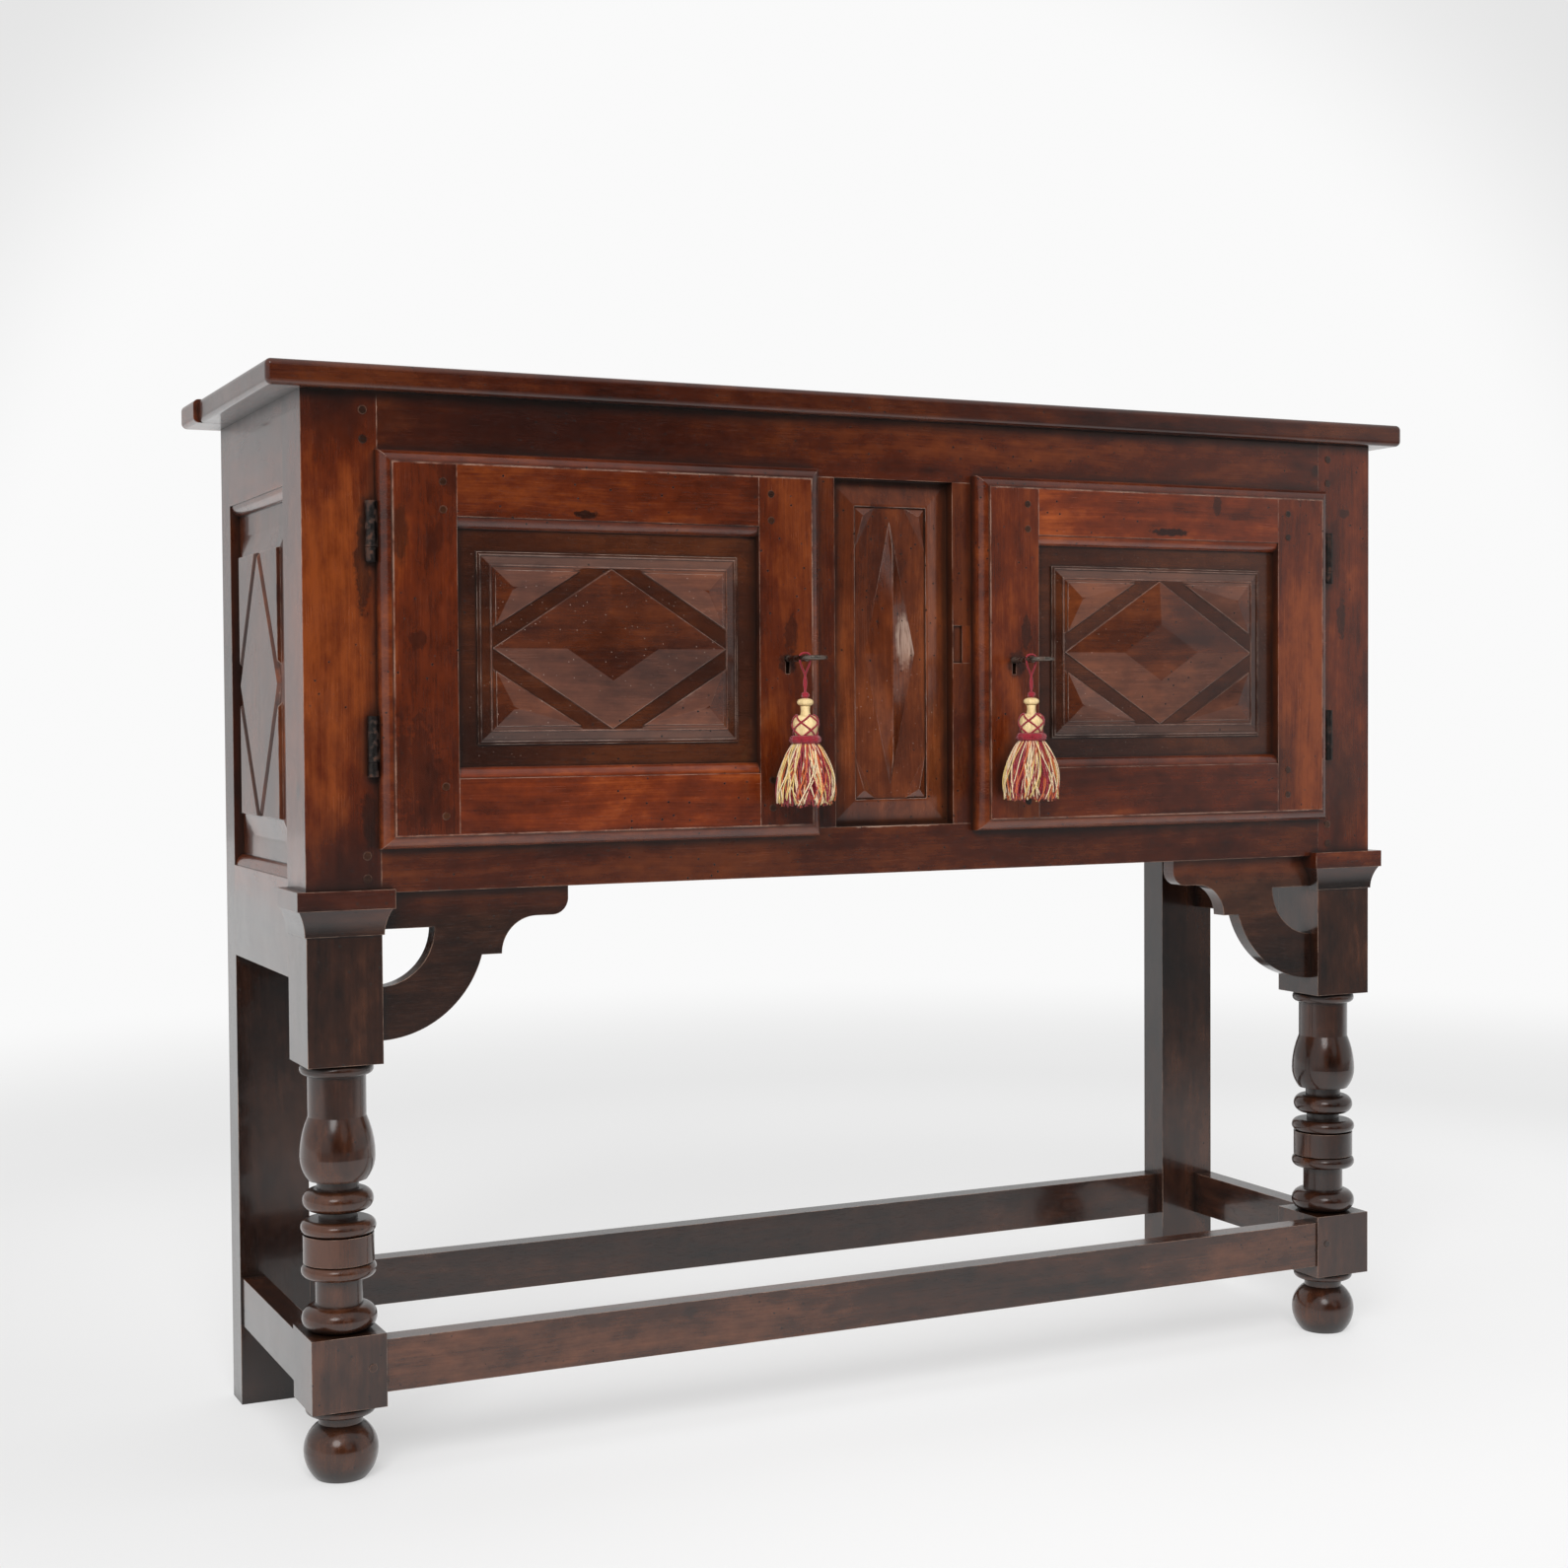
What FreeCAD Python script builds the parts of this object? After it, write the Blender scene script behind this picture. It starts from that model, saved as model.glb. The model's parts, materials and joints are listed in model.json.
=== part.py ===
import FreeCAD, Part
import math
import os
import Sketcher

# Joined wooden cabinet on legs: two framed doors with carved lozenge panels, turned front
# legs tied by stretchers, pierced brackets, and a tasselled key in each door lock.
# While the pieces are drawn, x runs from the left side of the case, y from the front of the
# posts towards the back, z from the floor. The placements then set the origin on the floor
# under the middle of the overall box.

# Driving sizes, all in millimetres
sizes = {
    # Fits that any piece may need
    "fitGap": 0.5, "cutOver": 3, "grooveDeep": 8, "panelPlay": 1,

    # Case: its box, the rails across the front, the muntins and the fixed centre panel
    "caseLong": 1290, "caseDeep": 360, "railThick": 25, "bottomRailLow": 581,
    "bottomRailTall": 51, "openTall": 373, "topRailTall": 64, "muntinWide": 40,
    "centreWide": 144, "centreSunk": 14, "centreFieldEdge": 26, "centreFieldRise": 5,
    "centreCutRise": 8, "crestWide": 0.6, "panelThick": 8,

    # Posts, turned legs and what ties them
    "postWide": 75, "backPostWide": 77, "backPostThick": 42, "blockLow": 74, "blockTall": 73,
    "turnedTall": 266, "stretcherTall": 52, "stretcherThick": 25, "stretcherLow": 88,
    "stretcherIn": 2,

    # Turned members from the square block down to the lower block: heights and outer radii
    "ringTall": 12, "ringOut": 36.5, "neckTall": 41, "neckOut": 28.9, "bulbUpTall": 40,
    "bulbOut": 37.2, "bulbDownTall": 23, "bulbFootOut": 29.2, "stemTall": 9, "stemOut": 20.7,
    "discTall": 22, "discOut": 35, "drumNeckTall": 8, "drumNeckOut": 19.3, "lipTall": 15,
    "lipOut": 37.2, "drumTall": 28, "drumOut": 35, "waistOut": 23.4, "torusTall": 26,
    "torusOut": 37.2, "footRingTall": 10, "footRingOut": 34.7, "footNeckTall": 9,
    "footNeckOut": 21.9, "bunUpTall": 27, "bunOut": 36.9, "bunBaseOut": 25,

    # Joints of the frames: tenons and the round pegs through them
    "tenonThick": 9, "tenonLong": 28, "tenonShoulder": 8, "pegWide": 8, "pegLong": 20,
    "pegInset": 14, "pegProud": 0.6,

    # Side frames and their panels
    "sideTopTall": 99, "sideBottomLow": 495, "sideBottomTall": 110, "sidePanelSunk": 10,
    "sideOvoloWide": 12, "sideOvoloDeep": 7, "ovoloStep": 1.5, "sideFieldEdge": 34,
    "sideFieldEnd": 45, "sideFieldRise": 5, "sideCutRise": 4,

    # Top planks, bottom boards and back boards
    "topThick": 25, "topSide": 36, "topFront": 18, "topBack": 12, "backPlankDeep": 70,
    "backPlankLonger": 5, "plankGap": 0.8, "topRound": 6, "boardLow": 586, "boardThick": 16,
    "boardSeat": 5, "backBoardThick": 12, "backBoardIn": 8,

    # Moulded collar round the top of each leg, and the pierced bracket beside it
    "collarTall": 45, "collarOut": 11, "collarFascia": 19, "collarFoot": 2, "collarStep": 2,
    "collarAbove": 4, "bracketThick": 20, "bracketIn": 13, "bracketBarTall": 37,
    "bracketLong": 198, "bracketRing": 110, "bracketHole": 57, "bracketStepDrop": 30,
    "bracketStepWide": 21, "bracketCove": 37, "bracketNose": 17,

    # Doors: frame, applied edge moulding and carved panel
    "doorOverPost": 3, "doorOverRail": 8, "doorOverMuntin": 16, "doorThick": 20, "doorGap": 0.5,
    "edgeWide": 13, "edgeLip": 1, "edgeFoot": 6, "edgeQuirk": 2, "hingeStileWide": 64,
    "lockStileWide": 61, "doorTopTall": 62, "doorBottomTall": 66, "doorOvoloWide": 11,
    "doorOvoloDeep": 7, "doorTenonThick": 7, "doorPegWide": 7, "doorPegLong": 14,
    "doorPanelSunk": 11, "doorPanelThick": 6, "fieldMargin": 22, "fieldStep": 2.5,
    "fieldBevel": 14, "fieldRise": 3, "doorCutRise": 4.5,

    # Hinges: a long knuckle on the door over a short one on the post, with let-in blades
    "hingeAcross": 66, "hingeOut": 7, "knuckleWide": 11, "knuckleTall": 45,
    "footKnuckleTall": 14, "hingePinWide": 5, "hingePinPlay": 0.3, "bladeThick": 2.5,
    "bladeLong": 26, "knuckleGap": 0.4, "topHingeHigh": 50, "lowHingeLow": 71,

    # Locks, bolts and keys
    "keyIn": 42, "keyUp": 187, "shankWide": 7, "shankPlay": 1, "slotWide": 4.5, "slotDeep": 15.5,
    "bowWide": 31, "bowRod": 4.6, "bitLong": 14, "bitThick": 3, "leftKeyReach": 44,
    "rightKeyReach": 38, "lockWide": 52, "lockTall": 66, "lockDeep": 15, "lockWall": 1.5,
    "lockClear": 3, "lockBelowKey": 40, "boltTall": 15, "boltThick": 5, "boltLong": 46,
    "boltThrow": 12, "boltBelowKey": 5, "boltPlay": 0.4, "notchBack": 20, "notchFore": 4,
    "notchDeep": 10,

    # Tassels: cord, turned head and skirt of threads
    "cordWide": 3, "cordPlay": 0.3, "cordDrop": 38, "cordBack": 2.5, "knobWide": 17, "knobTall": 8,
    "tasselNeckWide": 9, "tasselNeckTall": 9, "headWide": 26, "headTall": 22, "headFootWide": 17,
    "ruffWide": 32, "ruffTall": 8, "skirtTopWide": 30, "skirtWide": 64, "skirtTall": 64,
    "foldDeep": 3,

    # Repair let into the muntin beside the right door
    "patchWide": 11, "patchTall": 41, "patchThick": 6, "patchUp": 176, "patchIn": 1,
    "hollowWide": 11, "hollowDeep": 3,
}

# Shares of the sizes above, chosen by eye from the carved work
halfShare = 0.5
doorTopShare = 0.39
doorCornerShare = 0.76
apexShare = 0.06
flatTopShare = 0.96
sideCornerShare = 0.86
centreLozengeShare = 0.7
centreEndShare = 0.9
centreRidgeShare = 0.72
centreCornerShare = 0.3
pegShares = (0.28, 0.72)
skirtMidShare = 0.45
skirtMidWideShare = 0.8
foldCount = 16
boardCount = 3

doc = FreeCAD.newDocument("Cabinet")
sheet = doc.addObject("Spreadsheet::Sheet", "Sizes")
for row, (sizeName, sizeValue) in enumerate(sizes.items(), 1):
    sheet.set("A%d" % row, sizeName)
    sheet.set("B%d" % row, str(sizeValue))
    sheet.setAlias("B%d" % row, sizeName)
doc.recompute()


# A size is a number together with the sheet expression that gives it
class Size:
    def __init__(self, value, text):
        self.value = float(value)
        self.text = text

    def join(self, other, sign, value):
        return Size(value, "(%s %s %s)" % (self.text, sign, lift(other).text))

    def __add__(self, other):
        return self.join(other, "+", self.value + lift(other).value)

    def __radd__(self, other):
        return lift(other) + self

    def __sub__(self, other):
        return self.join(other, "-", self.value - lift(other).value)

    def __rsub__(self, other):
        return lift(other) - self

    def __mul__(self, other):
        return self.join(other, "*", self.value * lift(other).value)

    def __rmul__(self, other):
        return lift(other) * self

    def __truediv__(self, other):
        return self.join(other, "/", self.value / lift(other).value)

    def __neg__(self):
        return Size(-self.value, "(0 - %s)" % self.text)


def lift(number):
    return number if isinstance(number, Size) else Size(number, repr(number))


class Cells:
    def __getattr__(self, name):
        return Size(sheet.get(name), "Sizes." + name)


v = Cells()
zero = Size(0, "0")

# Places that several pieces share
middle = v.caseLong / 2
openLow = v.bottomRailLow + v.bottomRailTall
openHigh = openLow + v.openTall
caseTop = openHigh + v.topRailTall
blockTop = v.blockLow + v.blockTall
postLow = blockTop + v.turnedTall
muntinIn = middle - v.centreWide / 2
muntinOut = muntinIn - v.muntinWide
backPostFront = v.caseDeep - v.backPostThick
sideTopLow = caseTop - v.sideTopTall
sideBottomHigh = v.sideBottomLow + v.sideBottomTall
stretcherHigh = v.stretcherLow + v.stretcherTall
frontFrames = [(v.bottomRailLow, openLow), (openHigh, caseTop)]
sideFrames = [(v.sideBottomLow, sideBottomHigh), (sideTopLow, caseTop)]
railTenon = (v.tenonShoulder, v.tenonShoulder + v.tenonThick)
stretcherTenon = (v.stretcherIn + v.tenonShoulder, v.stretcherIn + v.tenonShoulder + v.tenonThick)
backTenon = (v.caseDeep - v.tenonShoulder - v.tenonThick, v.caseDeep - v.tenonShoulder)
backBoardY = (v.caseDeep - v.backBoardIn - v.backBoardThick, v.caseDeep - v.backBoardIn)
sidePanelX = (v.sidePanelSunk, v.sidePanelSunk + v.panelThick)
centrePanelY = (v.centreSunk, v.centreSunk + v.panelThick)
boardHigh = v.boardLow + v.boardThick
mortiseDeep = v.tenonLong + v.fitGap

# Doors lie in front of the case and lap over the opening all round
doorFace = -(v.doorThick + v.doorGap)
doorBack = -v.doorGap
doorLeft = v.postWide - v.doorOverPost
doorRight = muntinOut + v.doorOverMuntin
doorLow = openLow - v.doorOverRail
doorHigh = openHigh + v.doorOverRail
frameLeft = doorLeft + v.edgeWide
frameRight = doorRight - v.edgeWide
frameLow = doorLow + v.edgeWide
frameHigh = doorHigh - v.edgeWide
panelLeft = frameLeft + v.hingeStileWide
panelRight = frameRight - v.lockStileWide
panelLow = frameLow + v.doorBottomTall
panelHigh = frameHigh - v.doorTopTall
doorFrames = [(frameLow, panelLow), (panelHigh, frameHigh)]
doorTenonFront = doorFace + (v.doorThick - v.doorTenonThick) / 2
doorTenon = (doorTenonFront, doorTenonFront + v.doorTenonThick)
doorPanelY = (doorFace + v.doorPanelSunk, doorFace + v.doorPanelSunk + v.doorPanelThick)

# Hinge axis, key axis and the room inside the lock
hingeY = -v.hingeOut
knuckleLows = [doorLow + v.lowHingeLow + v.footKnuckleTall,
               doorHigh - v.topHingeHigh - v.knuckleTall]
keyX = doorRight - v.keyIn
keyZ = doorLow + v.keyUp
keyReach = {"left": v.leftKeyReach, "right": v.rightKeyReach}
lockRight = muntinOut - v.lockClear
lockLeft = lockRight - v.lockWide
lockLow = keyZ - v.lockBelowKey
lockBack = doorBack + v.lockDeep
boltY = (lockBack - v.lockWall - v.boltPlay - v.boltThick, lockBack - v.lockWall - v.boltPlay)
boltZ = (keyZ - v.boltBelowKey - v.boltTall, keyZ - v.boltBelowKey)
patchX = (doorRight + v.patchIn, doorRight + v.patchIn + v.patchWide)
patchZ = (openLow + v.patchUp, openLow + v.patchUp + v.patchTall)

# The origin stands on the floor under the middle of the box that holds the whole cabinet
frontReach = doorFace - v.leftKeyReach - v.bowWide
backReach = v.caseDeep + v.topBack
shiftX = -(v.caseLong - v.backPlankLonger) / 2
shiftY = -(frontReach + backReach) / 2


# Placing and naming
def bind(target, prop, size):
    if "Sizes." in size.text:
        target.setExpression(prop, size.text)
    elif "." not in prop:
        setattr(target, prop, size.value)


def stand(target, x=zero, y=zero, z=zero, rotation=None):
    places = [x, y, z]
    base = FreeCAD.Vector(*[p.value for p in places])
    target.Placement = FreeCAD.Placement(base, rotation or FreeCAD.Rotation())
    for axis, place in zip("xyz", places):
        bind(target, "Placement.Base." + axis, place)
    return target


# A finished sub-part gets its label and is set in the object's frame
finished = []


def finish(name, target, x=zero, y=zero, z=zero, rotation=None):
    stand(target, x + shiftX, y + shiftY, z, rotation)
    target.Label = name
    finished.append(target)
    return target


def other(side, low, high):
    # the same stretch on the left side, or mirrored on the right side of the case
    return (low, high) if side == "left" else (v.caseLong - high, v.caseLong - low)


def hand(side, x):
    return x if side == "left" else v.caseLong - x


# Square stock and its joints
def block(x0, x1, y0, y1, z0, z1):
    box = doc.addObject("Part::Box", "Block")
    stand(box, x0, y0, z0)
    bind(box, "Length", x1 - x0)
    bind(box, "Width", y1 - y0)
    bind(box, "Height", z1 - z0)
    return box


def sideBlock(side, x0, x1, y0, y1, z0, z1):
    low, high = other(side, x0, x1)
    return block(low, high, y0, y1, z0, z1)


turns = {
    "z": FreeCAD.Rotation(),
    "y": FreeCAD.Rotation(FreeCAD.Vector(1, 0, 0), -90),
    "x": FreeCAD.Rotation(FreeCAD.Vector(0, 1, 0), 90),
}


def rod(axis, x, y, z, wide, tall):
    pin = doc.addObject("Part::Cylinder", "Rod")
    stand(pin, x, y, z, turns[axis])
    bind(pin, "Radius", wide / 2)
    bind(pin, "Height", tall)
    return pin


def fuse(shapes):
    if len(shapes) == 1:
        return shapes[0]
    whole = doc.addObject("Part::MultiFuse", "Fuse")
    whole.Shapes = shapes
    whole.Refine = True
    return whole


def cut(base, tools):
    rest = doc.addObject("Part::Cut", "Cut")
    rest.Base = base
    rest.Tool = fuse(tools)
    return rest


def group(shapes):
    together = doc.addObject("Part::Compound", "Group")
    together.Links = shapes
    return together


# The start, end and centre of a line or an arc, as a sketch numbers them
startSpot, endSpot, centreSpot = 1, 2, 3


# Sketched outlines: every corner is held by two sheet expressions. A point may carry the
# centre of the arc that leads to it: (x, y, centreX, centreY, turn), one centre value being
# None where the other settles it, with turn 1 anticlockwise and -1 clockwise.
def arcCentre(start, end, centreX, centreY):
    (x0, y0), (x1, y1) = start, end
    if centreX is None:
        centreX = (x1 * x1 - x0 * x0 + (y1 - centreY) ** 2 - (y0 - centreY) ** 2) / (2 * (x1 - x0))
    if centreY is None:
        centreY = (y1 * y1 - y0 * y0 + (x1 - centreX) ** 2 - (x0 - centreX) ** 2) / (2 * (y1 - y0))
    return FreeCAD.Vector(centreX, centreY, 0)


def holdPoint(sketch, geo, spot, x, y):
    for kind, size in (("DistanceX", x), ("DistanceY", y)):
        if size is None:
            continue
        index = sketch.addConstraint(Sketcher.Constraint(kind, -1, 1, geo, spot, size.value))
        if "Sizes." in size.text:
            label = "%s%d_%d" % (kind[-1], geo, spot)
            sketch.renameConstraint(index, label)
            sketch.setExpression("Constraints." + label, size.text)


def newSketch(body, role, height=zero):
    sketch = body.newObject("Sketcher::SketchObject", "Outline")
    plane = [item for item in body.Origin.OriginFeatures if item.Role == role][0]
    sketch.AttachmentSupport = (plane, [""])
    sketch.MapMode = "FlatFace"
    bind(sketch, "AttachmentOffset.Base.z", height)
    return sketch


def outline(body, role, points, height=zero):
    sketch = newSketch(body, role, height)
    corners = [(lift(point[0]), lift(point[1])) for point in points]
    count = len(points)
    spots = []
    for i in range(count):
        start = (corners[i][0].value, corners[i][1].value)
        point = points[(i + 1) % count]
        end = (lift(point[0]).value, lift(point[1]).value)
        if len(point) == 2:
            line = Part.LineSegment(FreeCAD.Vector(*start, 0), FreeCAD.Vector(*end, 0))
            sketch.addGeometry(line, False)
            spots.append((startSpot, endSpot))
            continue
        centreX, centreY, turn = point[2:]
        centre = arcCentre(start, end, centreX and lift(centreX).value,
                           centreY and lift(centreY).value)
        first, last = (start, end) if turn > 0 else (end, start)
        circle = Part.Circle(centre, FreeCAD.Vector(0, 0, 1), math.dist(first, centre[:2]))
        angles = [math.atan2(p[1] - centre.y, p[0] - centre.x) for p in (first, last)]
        if angles[1] <= angles[0]:
            angles[1] += 2 * math.pi
        sketch.addGeometry(Part.ArcOfCircle(circle, *angles), False)
        spots.append((startSpot, endSpot) if turn > 0 else (endSpot, startSpot))
    for i in range(count):
        after = (i + 1) % count
        sketch.addConstraint(
            Sketcher.Constraint("Coincident", i, spots[i][1], after, spots[after][0]))
    for i in range(count):
        holdPoint(sketch, i, spots[i][0], *corners[i])
        point = points[(i + 1) % count]
        x, y, *arc = point
        if arc:
            holdPoint(sketch, i, centreSpot, arc[0], arc[1])
    return sketch


def newBody():
    return doc.addObject("PartDesign::Body", "Body")


def pad(body, sketch, length, reverse=False):
    feature = body.newObject("PartDesign::Pad", "Pad")
    feature.Profile = sketch
    bind(feature, "Length", length)
    feature.Reversed = reverse
    return feature


def pocket(body, sketch, length, reverse=False):
    feature = body.newObject("PartDesign::Pocket", "Pocket")
    feature.Profile = sketch
    bind(feature, "Length", length)
    feature.Reversed = reverse
    return feature


def loft(body, first, *others):
    feature = body.newObject("PartDesign::AdditiveLoft", "Loft")
    feature.Profile = first
    feature.Sections = list(others)
    feature.Ruled = True
    return feature


def sweep(body, profile, path):
    feature = body.newObject("PartDesign::AdditivePipe", "Pipe")
    feature.Profile = profile
    feature.Spine = (path, [])
    feature.Transition = "Right corner"
    return feature


def spin(body, sketch):
    feature = body.newObject("PartDesign::Revolution", "Revolution")
    feature.Profile = sketch
    feature.ReferenceAxis = (sketch, ["V_Axis"])
    feature.Angle = 360
    return feature


def rectangle(x0, x1, y0, y1):
    return [(x0, y0), (x1, y0), (x1, y1), (x0, y1)]


def centred(halfX, halfY):
    return rectangle(-halfX, halfX, -halfY, halfY)


def root(size):
    return Size(math.sqrt(size.value), "sqrt(%s)" % size.text)


def mirrored(points):
    # the same outline for the right side: x changes sign, and arcs turn the other way
    flipped = []
    for point in points:
        x, y, *arc = point
        if arc:
            centreX, centreY, turn = arc
            arc = [None if centreX is None else -centreX, centreY, -turn]
        flipped.append((-x, y, *arc))
    return flipped


def openPath(body, role, points, closed=False):
    sketch = newSketch(body, role)
    ends = points[1:] + points[:1] if closed else points[1:]
    for start, end in zip(points, ends):
        line = Part.LineSegment(FreeCAD.Vector(start[0].value, start[1].value, 0),
                                FreeCAD.Vector(end[0].value, end[1].value, 0))
        sketch.addGeometry(line, False)
    for i in range(len(ends)):
        if i + 1 < len(ends) or closed:
            after = (i + 1) % len(ends)
            sketch.addConstraint(
                Sketcher.Constraint("Coincident", i, endSpot, after, startSpot))
        holdPoint(sketch, i, startSpot, *points[i])
    if not closed:
        last = len(ends) - 1
        holdPoint(sketch, last, endSpot, *points[-1])
    return sketch


# Carved panels are drawn flat, x across, y up and z towards the viewer, then stood up
facing = {
    "front": FreeCAD.Rotation(FreeCAD.Vector(1, 0, 0), 90),
    "left": FreeCAD.Rotation(FreeCAD.Vector(0, -1, 0), FreeCAD.Vector(0, 0, 1),
                             FreeCAD.Vector(-1, 0, 0), "XYZ"),
    "right": FreeCAD.Rotation(FreeCAD.Vector(0, 1, 0), FreeCAD.Vector(0, 0, 1),
                              FreeCAD.Vector(1, 0, 0), "XYZ"),
}


def scaled(points, centre, share):
    return [(centre[0] + (x - centre[0]) * share, centre[1] + (y - centre[1]) * share)
            for x, y in points]


def relief(body, points, centre, share, low, rise):
    loft(body, outline(body, "XY_Plane", points, low),
         outline(body, "XY_Plane", scaled(points, centre, share), low + rise))


def cornerPyramids(body, halfX, halfY, legX, legY, low, rise, top):
    # a right-angled triangle in each corner of the field, rising to the centre of its circle
    inset = legX * legY / (legX + legY + root(legX * legX + legY * legY))
    for signX in (-1, 1):
        for signY in (-1, 1):
            cornerX = halfX * signX
            cornerY = halfY * signY
            points = [(cornerX, cornerY), (cornerX - legX * signX, cornerY),
                      (cornerX, cornerY - legY * signY)]
            peak = (cornerX - inset * signX, cornerY - inset * signY)
            relief(body, points, peak, top, low, rise)


def lozengeField(body, halfX, halfY, low, rise, share, cornerShare, cornerTop):
    # one lozenge that touches the edges of its field, and a pyramid in each corner
    relief(body, [(halfX, zero), (zero, halfY), (-halfX, zero), (zero, -halfY)],
           (zero, zero), share, low, rise)
    cornerPyramids(body, halfX, halfY, halfX * cornerShare, halfY * cornerShare, low, rise,
                   cornerTop)


# Tenons are narrower than their rails by a shoulder above and below
def shouldered(low, high):
    return low + v.tenonShoulder, high - v.tenonShoulder


# Front posts: square stiles that run down into turned legs, square blocks and bun feet
def bead(outer, high, tall):
    # half-round member, drawn downwards, whose outermost radius is given
    inner = outer - tall / 2
    return [(inner, high), (inner, high - tall, inner, None, -1)]


def legOutline():
    bulbHigh = postLow - v.ringTall - v.neckTall
    bulb = bulbHigh - v.bulbUpTall
    stemHigh = bulb - v.bulbDownTall
    discHigh = stemHigh - v.stemTall
    neckHigh = discHigh - v.discTall
    lipHigh = neckHigh - v.drumNeckTall
    drumHigh = lipHigh - v.lipTall
    drumLow = drumHigh - v.drumTall
    waistHigh = drumLow - v.lipTall
    torusHigh = blockTop + v.torusTall
    return [(zero, postLow)] + bead(v.ringOut, postLow, v.ringTall) + [
        (v.neckOut, postLow - v.ringTall), (v.neckOut, bulbHigh),
        (v.bulbOut, bulb, None, bulb, -1), (v.bulbFootOut, stemHigh, None, bulb, -1),
        (v.stemOut, stemHigh), (v.stemOut, discHigh)] + bead(v.discOut, discHigh, v.discTall) + [
        (v.drumNeckOut, neckHigh), (v.drumNeckOut, lipHigh)] + bead(v.lipOut, lipHigh, v.lipTall) + [
        (v.drumOut, drumHigh), (v.drumOut, drumLow)] + bead(v.lipOut, drumLow, v.lipTall) + [
        (v.waistOut, waistHigh), (v.waistOut, torusHigh)] + bead(
            v.torusOut, torusHigh, v.torusTall) + [(zero, blockTop)]


def footOutline():
    neckHigh = v.blockLow - v.footRingTall
    bunHigh = neckHigh - v.footNeckTall
    bun = bunHigh - v.bunUpTall
    return [(zero, v.blockLow)] + bead(v.footRingOut, v.blockLow, v.footRingTall) + [
        (v.footNeckOut, neckHigh), (v.footNeckOut, bunHigh), (v.bunOut, bun, None, bun, -1),
        (v.bunBaseOut, zero, None, bun, -1), (zero, zero)]


def pegPlaces():
    # two pegs for each front rail tenon and one for the stretcher, in the left post
    inset = v.postWide - v.pegInset
    places = [(inset, low + (high - low) * share) for low, high in frontFrames for share in pegShares]
    return places + [(inset, v.stretcherLow + v.stretcherTall / 2)]


def pegRod(side, x, z, front, wide, deep):
    return rod("y", hand(side, x), front, z, wide, deep)


def footKnuckleLow(base):
    return base - v.knuckleGap - v.footKnuckleTall


def postBlade(side, base):
    low = footKnuckleLow(base)
    half = v.bladeThick / 2
    return sideBlock(side, v.hingeAcross - half, v.hingeAcross + half, hingeY, v.bladeLong,
                     low, low + v.footKnuckleTall)


def frontPost(side):
    body = newBody()
    half = v.postWide / 2
    square = centred(half, half)
    spin(body, outline(body, "XZ_Plane", legOutline()))
    pad(body, outline(body, "XY_Plane", square, v.blockLow), v.blockTall)
    spin(body, outline(body, "XZ_Plane", footOutline()))
    pad(body, outline(body, "XY_Plane", square, postLow), caseTop - postLow)
    stand(body, hand(side, half), half)
    inner = (v.postWide - mortiseDeep, v.postWide + v.cutOver)
    cuts = []
    for low, high in frontFrames:
        cuts.append(sideBlock(side, *inner, *railTenon, *shouldered(low, high)))
    for low, high in sideFrames:
        cuts.append(sideBlock(side, *railTenon, *inner, *shouldered(low, high)))
    cuts.append(sideBlock(side, *inner, *stretcherTenon, *shouldered(v.stretcherLow, stretcherHigh)))
    cuts.append(sideBlock(side, *stretcherTenon, *inner, *shouldered(v.stretcherLow, stretcherHigh)))
    cuts.append(sideBlock(side, *sidePanelX, v.postWide - v.grooveDeep, v.postWide + v.cutOver,
                          sideBottomHigh - v.grooveDeep, sideTopLow + v.grooveDeep))
    for x, z in pegPlaces():
        cuts.append(pegRod(side, x, z, -v.cutOver, v.pegWide, v.pegLong + v.cutOver))
    for base in knuckleLows:
        cuts.append(postBlade(side, base))
    finish(side + "_front_post", cut(body, cuts))


def backPost(side):
    plank = sideBlock(side, zero, v.backPostWide, backPostFront, v.caseDeep, zero, caseTop)
    inward = (backPostFront - v.cutOver, backPostFront + mortiseDeep)
    across = (v.backPostWide - mortiseDeep, v.backPostWide + v.cutOver)
    cuts = []
    for low, high in sideFrames:
        cuts.append(sideBlock(side, *railTenon, *inward, *shouldered(low, high)))
    cuts.append(sideBlock(side, *stretcherTenon, *inward, *shouldered(v.stretcherLow, stretcherHigh)))
    for low, high in frontFrames + [(v.stretcherLow, stretcherHigh)]:
        cuts.append(sideBlock(side, *across, *backTenon, *shouldered(low, high)))
    cuts.append(sideBlock(side, *sidePanelX, backPostFront - v.cutOver,
                          backPostFront + v.grooveDeep, sideBottomHigh - v.grooveDeep,
                          sideTopLow + v.grooveDeep))
    cuts.append(sideBlock(side, v.backPostWide - v.grooveDeep, v.backPostWide + v.cutOver,
                          *backBoardY, openLow - v.grooveDeep, openHigh + v.grooveDeep))
    finish(side + "_back_post", cut(plank, cuts))


# Straight rails and stretchers with a tenon at each end
def tenonedX(x0, x1, yRange, tenonY, low, high, reach):
    return fuse([block(x0, x1, *yRange, low, high),
                 block(x0 - reach, x1 + reach, *tenonY, *shouldered(low, high))])


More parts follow.
